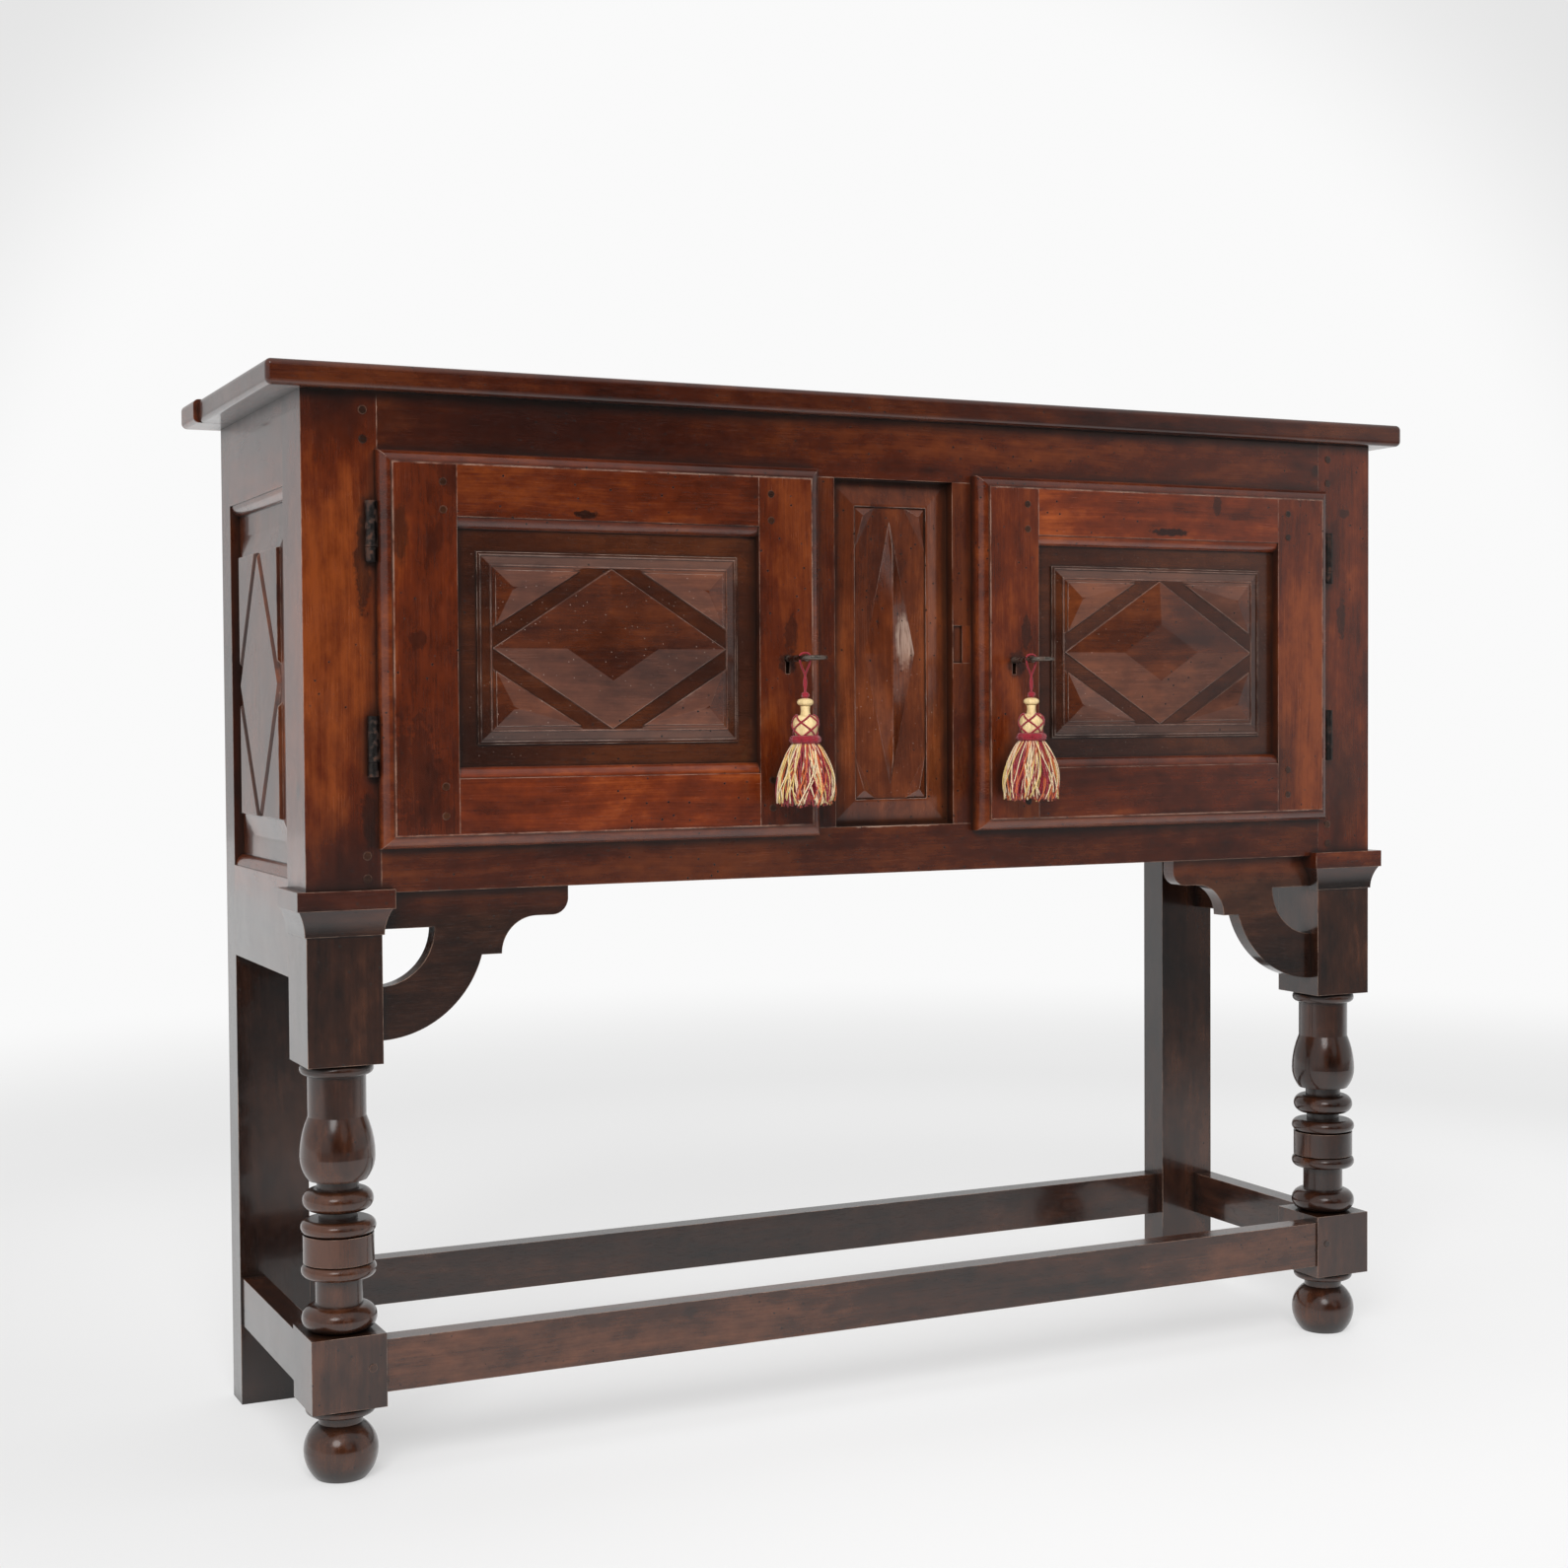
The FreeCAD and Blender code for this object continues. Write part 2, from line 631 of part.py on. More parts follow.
def frontRail(name, low, high, seamHigh):
    left = v.postWide
    right = v.caseLong - v.postWide
    rail = tenonedX(left, right, (zero, v.railThick), railTenon, low, high, v.tenonLong)
    stub = v.tenonShoulder * 2
    mortise = (high - stub, high + v.cutOver) if seamHigh else (low - v.cutOver, low + stub)
    groove = (high - v.grooveDeep, high + v.cutOver) if seamHigh else (
        low - v.cutOver, low + v.grooveDeep)
    grooveLeft = muntinIn - v.grooveDeep
    cuts = [block(grooveLeft, v.caseLong - grooveLeft, *centrePanelY, *groove)]
    for side in ("left", "right"):
        cuts.append(sideBlock(side, muntinOut + v.tenonShoulder, muntinIn - v.tenonShoulder,
                              *railTenon, *mortise))
        for x, z in pegPlaces():
            if low.value < z.value < high.value:
                cuts.append(pegRod(side, x, z, -v.cutOver, v.pegWide, v.pegLong + v.cutOver))
    if seamHigh:
        cuts.append(block(left - v.cutOver, right + v.cutOver, v.railThick - v.boardSeat,
                          v.railThick + v.cutOver, v.boardLow, boardHigh))
    finish(name, cut(rail, cuts))


def backRail(name, low, high, seamHigh):
    left = v.backPostWide
    right = v.caseLong - v.backPostWide
    front = v.caseDeep - v.railThick
    rail = tenonedX(left, right, (front, v.caseDeep), backTenon, low, high, v.tenonLong)
    groove = (high - v.grooveDeep, high + v.cutOver) if seamHigh else (
        low - v.cutOver, low + v.grooveDeep)
    cuts = [block(left, right, *backBoardY, *groove)]
    if seamHigh:
        cuts.append(block(left - v.cutOver, right + v.cutOver, front - v.cutOver,
                          front + v.boardSeat, v.boardLow, boardHigh))
    finish(name, cut(rail, cuts))


def stretchers():
    low, high = v.stretcherLow, stretcherHigh
    front = (v.stretcherIn, v.stretcherIn + v.stretcherThick)
    rail = tenonedX(v.postWide, v.caseLong - v.postWide, front, stretcherTenon, low, high,
                    v.tenonLong)
    x, z = pegPlaces()[-1]
    holes = [pegRod(side, x, z, -v.cutOver, v.pegWide, v.pegLong + v.cutOver)
             for side in ("left", "right")]
    finish("front_stretcher", cut(rail, holes))
    back = (v.caseDeep - v.stretcherThick, v.caseDeep)
    finish("back_stretcher", tenonedX(v.backPostWide, v.caseLong - v.backPostWide, back,
                                      backTenon, low, high, v.tenonLong))
    for side in ("left", "right"):
        finish(side + "_stretcher", fuse([
            sideBlock(side, *front, v.postWide, backPostFront, low, high),
            sideBlock(side, *stretcherTenon, v.postWide - v.tenonLong,
                      backPostFront + v.tenonLong, *shouldered(low, high))]))


def muntin(side):
    stub = v.tenonShoulder * 2 - v.fitGap
    post = fuse([
        sideBlock(side, muntinOut, muntinIn, zero, v.railThick, openLow, openHigh),
        sideBlock(side, muntinOut + v.tenonShoulder, muntinIn - v.tenonShoulder, *railTenon,
                  openLow - stub, openHigh + stub)])
    cuts = [sideBlock(side, muntinIn - v.grooveDeep, muntinIn + v.cutOver, *centrePanelY,
                      openLow, openHigh),
            sideBlock(side, muntinOut - v.cutOver, muntinOut + v.boltThrow, boltY[0] - v.boltPlay,
                      boltY[1] + v.boltPlay, boltZ[0] - v.boltPlay, boltZ[1] + v.boltPlay)]
    if side == "right":
        cuts.append(sideBlock(side, *patchX, -v.cutOver, v.patchThick, *patchZ))
        cuts.append(sideBlock(side, patchX[1], patchX[1] + v.hollowWide, -v.cutOver,
                              v.hollowDeep, *patchZ))
    finish(side + "_muntin", cut(post, cuts))


# Side frames: deep rails with a moulded edge towards the panel
def railSection(low, high, edgeHigh, face, back, wide, deep):
    # across the thickness and up; the quarter round starts from a small step at the face
    step = face + v.ovoloStep
    if edgeHigh:
        edge = high - wide
        return [(face, low), (back, low), (back, high), (step + deep, high),
                (step, edge, None, edge, 1), (face, edge)]
    edge = low + wide
    return [(face, edge), (step, edge), (step + deep, low, None, edge, 1), (back, low),
            (back, high), (face, high)]


def sideRail(name, side, low, high, edgeHigh):
    body = newBody()
    points = railSection(low, high, edgeHigh, zero, v.railThick, v.sideOvoloWide, v.sideOvoloDeep)
    if side == "right":
        points = mirrored(points)
    pad(body, outline(body, "XZ_Plane", points), backPostFront - v.postWide)
    stand(body, hand(side, zero), backPostFront)
    tenons = sideBlock(side, *railTenon, v.postWide - v.tenonLong, backPostFront + v.tenonLong,
                       *shouldered(low, high))
    edge = (high - v.grooveDeep, high + v.cutOver) if edgeHigh else (
        low - v.cutOver, low + v.grooveDeep)
    cuts = [sideBlock(side, *sidePanelX, v.postWide, backPostFront, *edge)]
    if edgeHigh:
        cuts.append(sideBlock(side, v.railThick - v.boardSeat, v.railThick + v.cutOver,
                              v.postWide - v.cutOver, backPostFront + v.cutOver,
                              v.boardLow, boardHigh))
    finish(name, cut(fuse([body, tenons]), cuts))


def sidePanel(side):
    halfX = (backPostFront - v.postWide) / 2
    halfY = (sideTopLow - sideBottomHigh) / 2
    body = newBody()
    panelBoard(body, halfX, halfY, v.panelThick)
    innerX = halfX - v.sideFieldEdge
    innerY = halfY - v.sideFieldEnd
    footX = halfX - v.sideFieldEdge / 2
    footY = halfY - v.sideFieldEnd / 2
    loft(body, outline(body, "XY_Plane", centred(footX, footY)),
         outline(body, "XY_Plane", centred(innerX, innerY), v.sideFieldRise))
    lozengeField(body, innerX, innerY, v.sideFieldRise, v.sideCutRise, flatTopShare,
                 sideCornerShare, flatTopShare)
    finish(side + "_side_panel", body, hand(side, v.sidePanelSunk), v.postWide + halfX,
           sideBottomHigh + halfY, facing[side])


def panelBoard(body, halfX, halfY, thick):
    reach = v.grooveDeep - v.panelPlay
    pad(body, outline(body, "XY_Plane", centred(halfX + reach, halfY + reach), -thick), thick)


def centrePanel():
    halfX = v.centreWide / 2
    halfY = v.openTall / 2
    body = newBody()
    panelBoard(body, halfX, halfY, v.panelThick)
    innerX = halfX - v.centreFieldEdge
    innerY = halfY - v.centreFieldEdge
    loft(body, outline(body, "XY_Plane", centred(halfX - v.panelPlay, halfY - v.panelPlay)),
         outline(body, "XY_Plane", centred(innerX, innerY), v.centreFieldRise))
    groundX = innerX - v.fieldStep
    groundY = innerY - v.fieldStep
    low = v.centreFieldRise - v.fieldStep
    pocket(body, outline(body, "XY_Plane", centred(groundX, groundY), v.centreFieldRise), v.fieldStep)
    lozengeX = groundX * centreLozengeShare
    ridgeY = groundY * centreRidgeShare
    crest = v.crestWide / 2
    lozengeY = groundY * centreEndShare
    loft(body, outline(body, "XY_Plane", [(lozengeX, zero), (zero, lozengeY), (-lozengeX, zero),
                                          (zero, -lozengeY)], low),
         outline(body, "XY_Plane", [(crest, zero), (zero, ridgeY), (-crest, zero),
                                    (zero, -ridgeY)], low + v.centreCutRise))
    cornerPyramids(body, groundX, groundY, groundX * centreCornerShare * 2,
                   groundY * centreCornerShare, low, v.centreCutRise * halfShare, apexShare)
    finish("centre_panel", body, middle, v.centreSunk, openLow + halfY, facing["front"])


def muntinPatch():
    low, high = other("right", *patchX)
    finish("muntin_patch", block(zero, high - low, zero, v.patchThick, zero, v.patchTall),
           low, zero, patchZ[0])


# Top: two planks with worn, rounded edges
def topPlank(name, left, right, front, rear, seam):
    body = newBody()
    plank = pad(body, outline(body, "XY_Plane", rectangle(left, right, front, rear), caseTop),
                v.topThick)
    doc.recompute()
    worn = body.newObject("PartDesign::Fillet", "Worn")
    worn.Base = (plank, ["Edge%d" % number for number, edge in enumerate(plank.Shape.Edges, 1)
                         if max(abs(corner.Y - seam.value) for corner in edge.Vertexes)
                         > v.fitGap.value])
    bind(worn, "Radius", v.topRound)
    finish(name, body)


def topPlanks():
    left = -v.topSide
    right = v.caseLong + v.topSide
    back = v.caseDeep + v.topBack
    seam = back - v.backPlankDeep
    frontEnd = seam - v.plankGap
    topPlank("top_front_plank", left, right, -v.topFront, frontEnd, frontEnd)
    topPlank("top_back_plank", left - v.backPlankLonger, right, seam, back, seam)


# Floor of the case, let into the rails and notched round the posts, and the back boards
def bottomBoards():
    body = newBody()
    seat = v.railThick - v.boardSeat + v.fitGap
    right = v.caseLong - seat
    back = v.caseDeep - seat
    post = v.postWide + v.fitGap
    postRight = v.caseLong - post
    wide = v.backPostWide + v.fitGap
    wideRight = v.caseLong - wide
    rear = backPostFront - v.fitGap
    points = [(post, seat), (postRight, seat), (postRight, post), (right, post), (right, rear),
              (wideRight, rear), (wideRight, back), (wide, back), (wide, rear), (seat, rear),
              (seat, post), (post, post)]
    pad(body, outline(body, "XY_Plane", points, v.boardLow), v.boardThick)
    deep = (back - seat) / boardCount
    seams = [block(zero, v.caseLong, seat + deep * i, seat + deep * i + v.plankGap,
                   v.boardLow - v.cutOver, boardHigh + v.cutOver) for i in range(1, boardCount)]
    finish("bottom_boards", cut(body, seams))


def backBoards():
    reach = v.grooveDeep - v.panelPlay
    low = openLow - reach
    tall = v.openTall + reach * 2
    each = tall / boardCount
    boards = [block(v.backPostWide - reach, v.caseLong - v.backPostWide + reach, *backBoardY,
                    low + each * i, low + each * (i + 1) - v.plankGap) for i in range(boardCount)]
    finish("back_boards", group(boards))


# Moulded collar round the top of each leg: a fascia over a cove
def collar(side):
    body = newBody()
    high = v.bottomRailLow + v.collarAbove
    low = high - v.collarTall
    coveHigh = high - v.collarFascia
    coveOut = v.collarOut - v.collarStep
    points = [(zero, low), (zero, high), (-v.collarOut, high), (-v.collarOut, coveHigh),
              (-coveOut, coveHigh), (-v.collarFoot, low, None, low, -1)]
    path = [(zero, v.postWide), (zero, zero), (v.postWide, zero), (v.postWide, v.bracketIn)]
    if side == "right":
        points = mirrored(points)
        path = mirrored(path)
    sweep(body, outline(body, "XZ_Plane", points, -v.postWide), openPath(body, "XY_Plane", path))
    stand(body, hand(side, zero))
    rail = sideBlock(side, v.postWide, v.postWide + v.collarOut + v.cutOver, zero,
                     v.bracketIn + v.cutOver, v.bottomRailLow, high + v.cutOver)
    finish(side + "_collar", cut(body, [rail]))


# Pierced bracket: a bar under the rail, a quarter ring against the leg, a cove and a nose
def bracket(side):
    body = newBody()
    high = v.bottomRailLow
    barLow = high - v.bracketBarTall
    stepLow = barLow - v.bracketStepDrop
    ringX = root(v.bracketRing * v.bracketRing - v.bracketStepDrop * v.bracketStepDrop)
    coveX = ringX + v.bracketStepWide
    coveEnd = coveX + v.bracketCove
    coveHigh = stepLow + v.bracketCove
    noseX = v.bracketLong
    noseHigh = coveHigh + v.bracketNose
    points = [(zero, high), (zero, barLow), (v.bracketHole, barLow),
              (zero, barLow - v.bracketHole, zero, None, -1), (zero, barLow - v.bracketRing),
              (ringX, stepLow, zero, None, 1), (coveX, stepLow),
              (coveEnd, coveHigh, coveEnd, None, -1), (noseX - v.bracketNose, coveHigh),
              (noseX, noseHigh, None, noseHigh, 1), (noseX, high)]
    if side == "right":
        points = mirrored(points)
    pad(body, outline(body, "XZ_Plane", points), v.bracketThick, True)
    finish(side + "_bracket", body, hand(side, v.postWide), v.bracketIn)


# Pegs driven through the tenons, a little proud of the wood
def framePegs():
    pegs = [pegRod(side, x, z, -v.pegProud, v.pegWide, v.pegLong + v.pegProud)
            for side in ("left", "right") for x, z in pegPlaces()]
    finish("frame_pegs", group(pegs))


# Post halves of the hinges: short knuckle, pin and a blade driven into the post
def hingeFrameHalves():
    halves = []
    for side in ("left", "right"):
        for base in knuckleLows:
            low = footKnuckleLow(base)
            axis = hand(side, v.hingeAcross)
            halves.append(fuse([
                rod("z", axis, hingeY, low, v.knuckleWide, v.footKnuckleTall),
                rod("z", axis, hingeY, low, v.hingePinWide, v.footKnuckleTall + v.knuckleTall),
                postBlade(side, base)]))
    finish("hinge_frame_halves", group(halves))


# Doors: stiles, rails, an applied moulding round the edge and a carved panel
def doorPegPlaces():
    places = []
    for x in (panelLeft - v.pegInset, panelRight + v.pegInset):
        for low, high in doorFrames:
            for share in pegShares:
                places.append((x, low + (high - low) * share))
    return places


def doorPegHoles(side, x0, x1, z0, z1):
    return [pegRod(side, x, z, doorFace - v.cutOver, v.doorPegWide, v.doorPegLong + v.cutOver)
            for x, z in doorPegPlaces()
            if x0.value < x.value < x1.value and z0.value < z.value < z1.value]


def doorBlade(side, base):
    half = v.bladeThick / 2
    return sideBlock(side, v.hingeAcross, v.hingeAcross + v.bladeLong, hingeY - half,
                     hingeY + half, base, base + v.knuckleTall)


def doorStile(side, kind):
    left, right = (frameLeft, panelLeft) if kind == "hinge" else (panelRight, frameRight)
    inner = (panelLeft - mortiseDeep, panelLeft + v.cutOver) if kind == "hinge" else (
        panelRight - v.cutOver, panelRight + mortiseDeep)
    groove = (panelLeft - v.grooveDeep, panelLeft + v.cutOver) if kind == "hinge" else (
        panelRight - v.cutOver, panelRight + v.grooveDeep)
    plank = sideBlock(side, left, right, doorFace, doorBack, frameLow, frameHigh)
    cuts = [sideBlock(side, *inner, *doorTenon, *shouldered(low, high)) for low, high in doorFrames]
    cuts.append(sideBlock(side, *groove, *doorPanelY, panelLow - v.grooveDeep,
                          panelHigh + v.grooveDeep))
    cuts += doorPegHoles(side, left, right, frameLow, frameHigh)
    if kind == "hinge":
        cuts += [doorBlade(side, base) for base in knuckleLows]
    else:
        hole = v.shankWide + v.shankPlay
        cuts.append(pegRod(side, keyX, keyZ, doorFace - v.cutOver, hole, v.doorThick + v.cutOver * 2))
        cuts.append(sideBlock(side, keyX - v.slotWide / 2, keyX + v.slotWide / 2,
                              doorFace - v.cutOver, doorBack + v.cutOver, keyZ - v.slotDeep, keyZ))
    finish("%s_door_%s_stile" % (side, kind), cut(plank, cuts))


def doorRail(side, name, low, high, edgeHigh):
    body = newBody()
    x0, x1 = other(side, panelLeft, panelRight)
    points = railSection(low, high, edgeHigh, doorFace, doorBack, v.doorOvoloWide, v.doorOvoloDeep)
    pad(body, outline(body, "YZ_Plane", points, x0), x1 - x0)
    tenons = block(x0 - v.tenonLong, x1 + v.tenonLong, *doorTenon, *shouldered(low, high))
    edge = (high - v.grooveDeep, high + v.cutOver) if edgeHigh else (
        low - v.cutOver, low + v.grooveDeep)
    cuts = [block(x0, x1, *doorPanelY, *edge)] + doorPegHoles(side, frameLeft, frameRight, low, high)
    finish("%s_door_%s_rail" % (side, name), cut(fuse([body, tenons]), cuts))


def edgeMoulding(side):
    body = newBody()
    x0, x1 = other(side, frameLeft, frameRight)
    half = (x0 + x1) / 2
    path = openPath(body, "XZ_Plane", [(half, frameLow), (x1, frameLow), (x1, frameHigh),
                                       (x0, frameHigh), (x0, frameLow)], True)
    out = frameLow - v.edgeLip
    profile = outline(body, "YZ_Plane", [
        (doorBack, frameLow), (doorBack, doorLow), (doorBack - v.edgeFoot, doorLow),
        (doorFace + v.edgeQuirk, out, None, out, -1), (doorFace, out), (doorFace, frameLow)], half)
    sweep(body, profile, path)
    slots = [doorBlade(side, base) for base in knuckleLows]
    finish(side + "_door_edge_moulding", cut(body, slots))


def doorPanel(side):
    halfX = (panelRight - panelLeft) / 2
    halfY = (panelHigh - panelLow) / 2
    body = newBody()
    panelBoard(body, halfX, halfY, v.doorPanelThick)
    outerX = halfX - v.fieldMargin
    outerY = halfY - v.fieldMargin
    innerX = outerX - v.fieldBevel
    innerY = outerY - v.fieldBevel
    pad(body, outline(body, "XY_Plane", centred(outerX, outerY)), v.fieldStep)
    bevel = centred(outerX - v.fieldStep, outerY - v.fieldStep)
    loft(body, outline(body, "XY_Plane", bevel, v.fieldStep),
         outline(body, "XY_Plane", centred(innerX, innerY), v.fieldStep + v.fieldRise))
    lozengeField(body, innerX, innerY, v.fieldStep + v.fieldRise, v.doorCutRise, doorTopShare,
                 doorCornerShare, apexShare)
    finish(side + "_door_panel", body, hand(side, panelLeft + halfX), doorPanelY[0],
           panelLow + halfY, facing["front"])


def doorPegs(side):
    pegs = [pegRod(side, x, z, doorFace - v.pegProud, v.doorPegWide, v.doorPegLong + v.pegProud)
            for x, z in doorPegPlaces()]
    finish(side + "_door_pegs", group(pegs))


def doorHingeHalves(side):
    axis = hand(side, v.hingeAcross)
    bore = v.hingePinWide + v.hingePinPlay
    halves = [cut(fuse([rod("z", axis, hingeY, base, v.knuckleWide, v.knuckleTall),
                        doorBlade(side, base)]),
                  [rod("z", axis, hingeY, base - v.cutOver, bore, v.knuckleTall + v.cutOver * 2)])
              for base in knuckleLows]
    finish(side + "_door_hinge_halves", group(halves))


# Locks: a steel case open towards the door, a sliding bolt and a key
def lockCase(side):
    shell = sideBlock(side, lockLeft, lockRight, doorBack, lockBack, lockLow, lockLow + v.lockTall)
    wall = v.lockWall
    room = sideBlock(side, lockLeft + wall, lockRight - wall, doorBack - v.cutOver, lockBack - wall,
                     lockLow + wall, lockLow + v.lockTall - wall)
    gate = sideBlock(side, lockRight - wall * 2, lockRight + v.cutOver, boltY[0] - v.boltPlay,
                     boltY[1] + v.boltPlay, boltZ[0] - v.boltPlay, boltZ[1] + v.boltPlay)
    finish(side + "_lock_case", cut(shell, [room, gate]))


def lockBolt(side):
    bar = sideBlock(side, lockRight - v.boltLong, lockRight, *boltY, *boltZ)
    notch = sideBlock(side, keyX - v.notchBack, keyX + v.notchFore, boltY[0] - v.cutOver,
                      boltY[1] + v.cutOver, boltZ[1] - v.notchDeep, boltZ[1] + v.cutOver)
    finish(side + "_lock_bolt", cut(bar, [notch]))


def key(side):
    axis = hand(side, keyX)
    bowY = doorFace - keyReach[side] - v.bowWide / 2
    bowFront = doorFace - keyReach[side]
    shank = rod("y", axis, bowFront - v.bowRod / 2, keyZ, v.shankWide,
                boltY[1] - bowFront + v.bowRod / 2)
    bow = doc.addObject("Part::Torus", "Bow")
    stand(bow, axis, bowY, keyZ)
    bind(bow, "Radius1", (v.bowWide - v.bowRod) / 2)
    bind(bow, "Radius2", v.bowRod / 2)
    bit = sideBlock(side, keyX - v.bitLong, keyX, boltY[0] + v.boltPlay, boltY[1] - v.boltPlay,
                    keyZ - v.bitThick / 2, keyZ + v.bitThick / 2)
    finish(side + "_key", fuse([shank, bow, bit]))


# Tassels: a cord looped round the key, a head of knob, ball and band, and a skirt of threads
def cordY(side):
    return doorFace - keyReach[side] + v.cordBack


knobHigh = keyZ - v.shankWide / 2 - v.cordDrop
ruffLow = knobHigh - v.knobTall - v.tasselNeckTall - v.headTall - v.ruffTall


def tasselCord(side):
    axis = hand(side, keyX)
    loopRadius = v.shankWide / 2 + v.cordPlay + v.cordWide / 2
    loop = doc.addObject("Part::Torus", "Loop")
    stand(loop, axis, cordY(side), keyZ, turns["y"])
    bind(loop, "Radius1", loopRadius)
    bind(loop, "Radius2", v.cordWide / 2)
    fall = rod("z", axis, cordY(side), knobHigh, v.cordWide, keyZ - loopRadius - knobHigh)
    finish(side + "_tassel_cord", fuse([loop, fall]))


def tasselHead(side):
    body = newBody()
    neck = v.tasselNeckWide / 2
    knob = -v.knobTall / 2
    neckHigh = -v.knobTall
    ballHigh = neckHigh - v.tasselNeckTall
    ball = ballHigh - v.headTall / 2
    ballLow = ballHigh - v.headTall
    points = [(zero, zero), (neck, zero), (v.knobWide / 2, knob, None, knob, -1),
              (neck, neckHigh, None, knob, -1), (neck, ballHigh),
              (v.headWide / 2, ball, None, ball, -1),
              (v.headFootWide / 2, ballLow, None, ball, -1)] + bead(
                  v.ruffWide / 2, ballLow, v.ruffTall) + [(zero, ballLow - v.ruffTall)]
    spin(body, outline(body, "XZ_Plane", points))
    finish(side + "_tassel_head", body, hand(side, keyX), cordY(side), knobHigh)


def foldedRing(wide, deep):
    # a ring of equal folds: each is an arc that bulges to the full width between two creases
    half = math.pi / foldCount
    outer = wide / 2
    crease = outer - deep
    chord = crease * math.sin(half)
    rise = outer - crease * math.cos(half)
    middleOut = outer - (chord * chord + rise * rise) / (rise * 2)
    points = []
    for number in range(foldCount):
        angle = half * (2 * number + 1)
        x, y = crease * math.cos(angle), crease * math.sin(angle)
        bend = angle - half
        centreX, centreY = middleOut * math.cos(bend), middleOut * math.sin(bend)
        sideways = abs(math.cos(bend)) > abs(math.sin(bend))
        points.append((x, y, centreX, None, 1) if sideways else (x, y, None, centreY, 1))
    return points


def tasselSkirt(side):
    body = newBody()
    rings = [(v.skirtTopWide, zero, v.foldDeep / 2),
             (v.skirtWide * skirtMidWideShare, -v.skirtTall * skirtMidShare, v.foldDeep),
             (v.skirtWide, -v.skirtTall, v.foldDeep)]
    sections = [outline(body, "XY_Plane", foldedRing(wide, deep), low) for wide, low, deep in rings]
    loft(body, *sections)
    finish(side + "_tassel_skirt", body, hand(side, keyX), cordY(side), ruffLow)


# Everything, piece by piece
topPlanks()
for rail, low, high, seamHigh in (("bottom_rail", v.bottomRailLow, openLow, True),
                                  ("top_rail", openHigh, caseTop, False)):
    frontRail("front_" + rail, low, high, seamHigh)
    backRail("back_" + rail, low, high, seamHigh)
for side in ("left", "right"):
    frontPost(side)
    backPost(side)
    muntin(side)
    sideRail(side + "_side_bottom_rail", side, v.sideBottomLow, sideBottomHigh, True)
    sideRail(side + "_side_top_rail", side, sideTopLow, caseTop, False)
    sidePanel(side)
    collar(side)
    bracket(side)
centrePanel()
muntinPatch()
bottomBoards()
backBoards()
stretchers()
framePegs()
hingeFrameHalves()
for side in ("left", "right"):
    doorStile(side, "hinge")
    doorStile(side, "lock")
    doorRail(side, "bottom", frameLow, panelLow, True)
    doorRail(side, "top", panelHigh, frameHigh, False)
    edgeMoulding(side)
    doorPanel(side)
    doorPegs(side)
    doorHingeHalves(side)
    lockCase(side)
    lockBolt(side)
    key(side)
    tasselCord(side)
    tasselHead(side)
    tasselSkirt(side)

# Every piece is checked before it is written
doc.recompute()
failed = [item.Label for item in doc.Objects if {"Invalid", "Error"} & set(item.State)]
failed += [piece.Label for piece in finished if piece.Shape.isNull() or not piece.Shape.isValid()]
if failed:
    raise SystemExit("failed: " + ", ".join(failed))
os.makedirs("parts", exist_ok=True)
for piece in finished:
    piece.Shape.exportStep("parts/%s.step" % piece.Label)
print("%d pieces written" % len(finished))
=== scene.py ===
import bpy
import bmesh
import json
import math
import random
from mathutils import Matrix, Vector


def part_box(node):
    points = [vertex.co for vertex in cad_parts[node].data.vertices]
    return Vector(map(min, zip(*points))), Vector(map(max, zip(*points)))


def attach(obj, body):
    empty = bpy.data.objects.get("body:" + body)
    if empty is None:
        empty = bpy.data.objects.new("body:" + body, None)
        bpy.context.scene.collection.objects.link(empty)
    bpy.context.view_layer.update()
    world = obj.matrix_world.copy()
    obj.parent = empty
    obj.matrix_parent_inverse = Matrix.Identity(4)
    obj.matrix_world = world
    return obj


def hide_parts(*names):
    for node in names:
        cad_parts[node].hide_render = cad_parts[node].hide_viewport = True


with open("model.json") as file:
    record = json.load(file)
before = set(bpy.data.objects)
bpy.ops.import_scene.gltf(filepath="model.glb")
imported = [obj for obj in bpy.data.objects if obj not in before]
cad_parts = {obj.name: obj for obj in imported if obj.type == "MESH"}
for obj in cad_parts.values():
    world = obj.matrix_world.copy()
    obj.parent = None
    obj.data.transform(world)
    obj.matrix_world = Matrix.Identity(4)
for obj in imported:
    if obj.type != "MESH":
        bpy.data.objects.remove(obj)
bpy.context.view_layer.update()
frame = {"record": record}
print("frame loaded")

# The case is measured in millimetres from its left side, the front of its posts and the floor;
# the row's frame has its origin on the floor under the middle of the whole
mm = 0.001
caseShift = Vector((-642.5, -138.25, 0))


def place(x, y, z):
    return (Vector((x, y, z)) + caseShift) * mm


# Camera, at the photograph's viewing angle
cameraFacts = {"place": (-537.3, -2204.4, 754.4), "yaw": 0.4443, "pitch": 0.0307, "roll": 0.0063,
               "imageWide": 1590, "focalPixels": 2339.7, "sensorWide": 36}


def makeCamera():
    facts = cameraFacts
    data = bpy.data.cameras.new("photoCamera")
    data.sensor_width = facts["sensorWide"]
    data.lens = facts["focalPixels"] * facts["sensorWide"] / facts["imageWide"]
    data.clip_start = 0.05
    camera = bpy.data.objects.new("photoCamera", data)
    camera.location = place(*facts["place"])
    camera.rotation_euler = (math.pi / 2 - facts["pitch"], facts["roll"], -facts["yaw"])
    bpy.context.collection.objects.link(camera)
    bpy.context.scene.camera = camera


makeCamera()


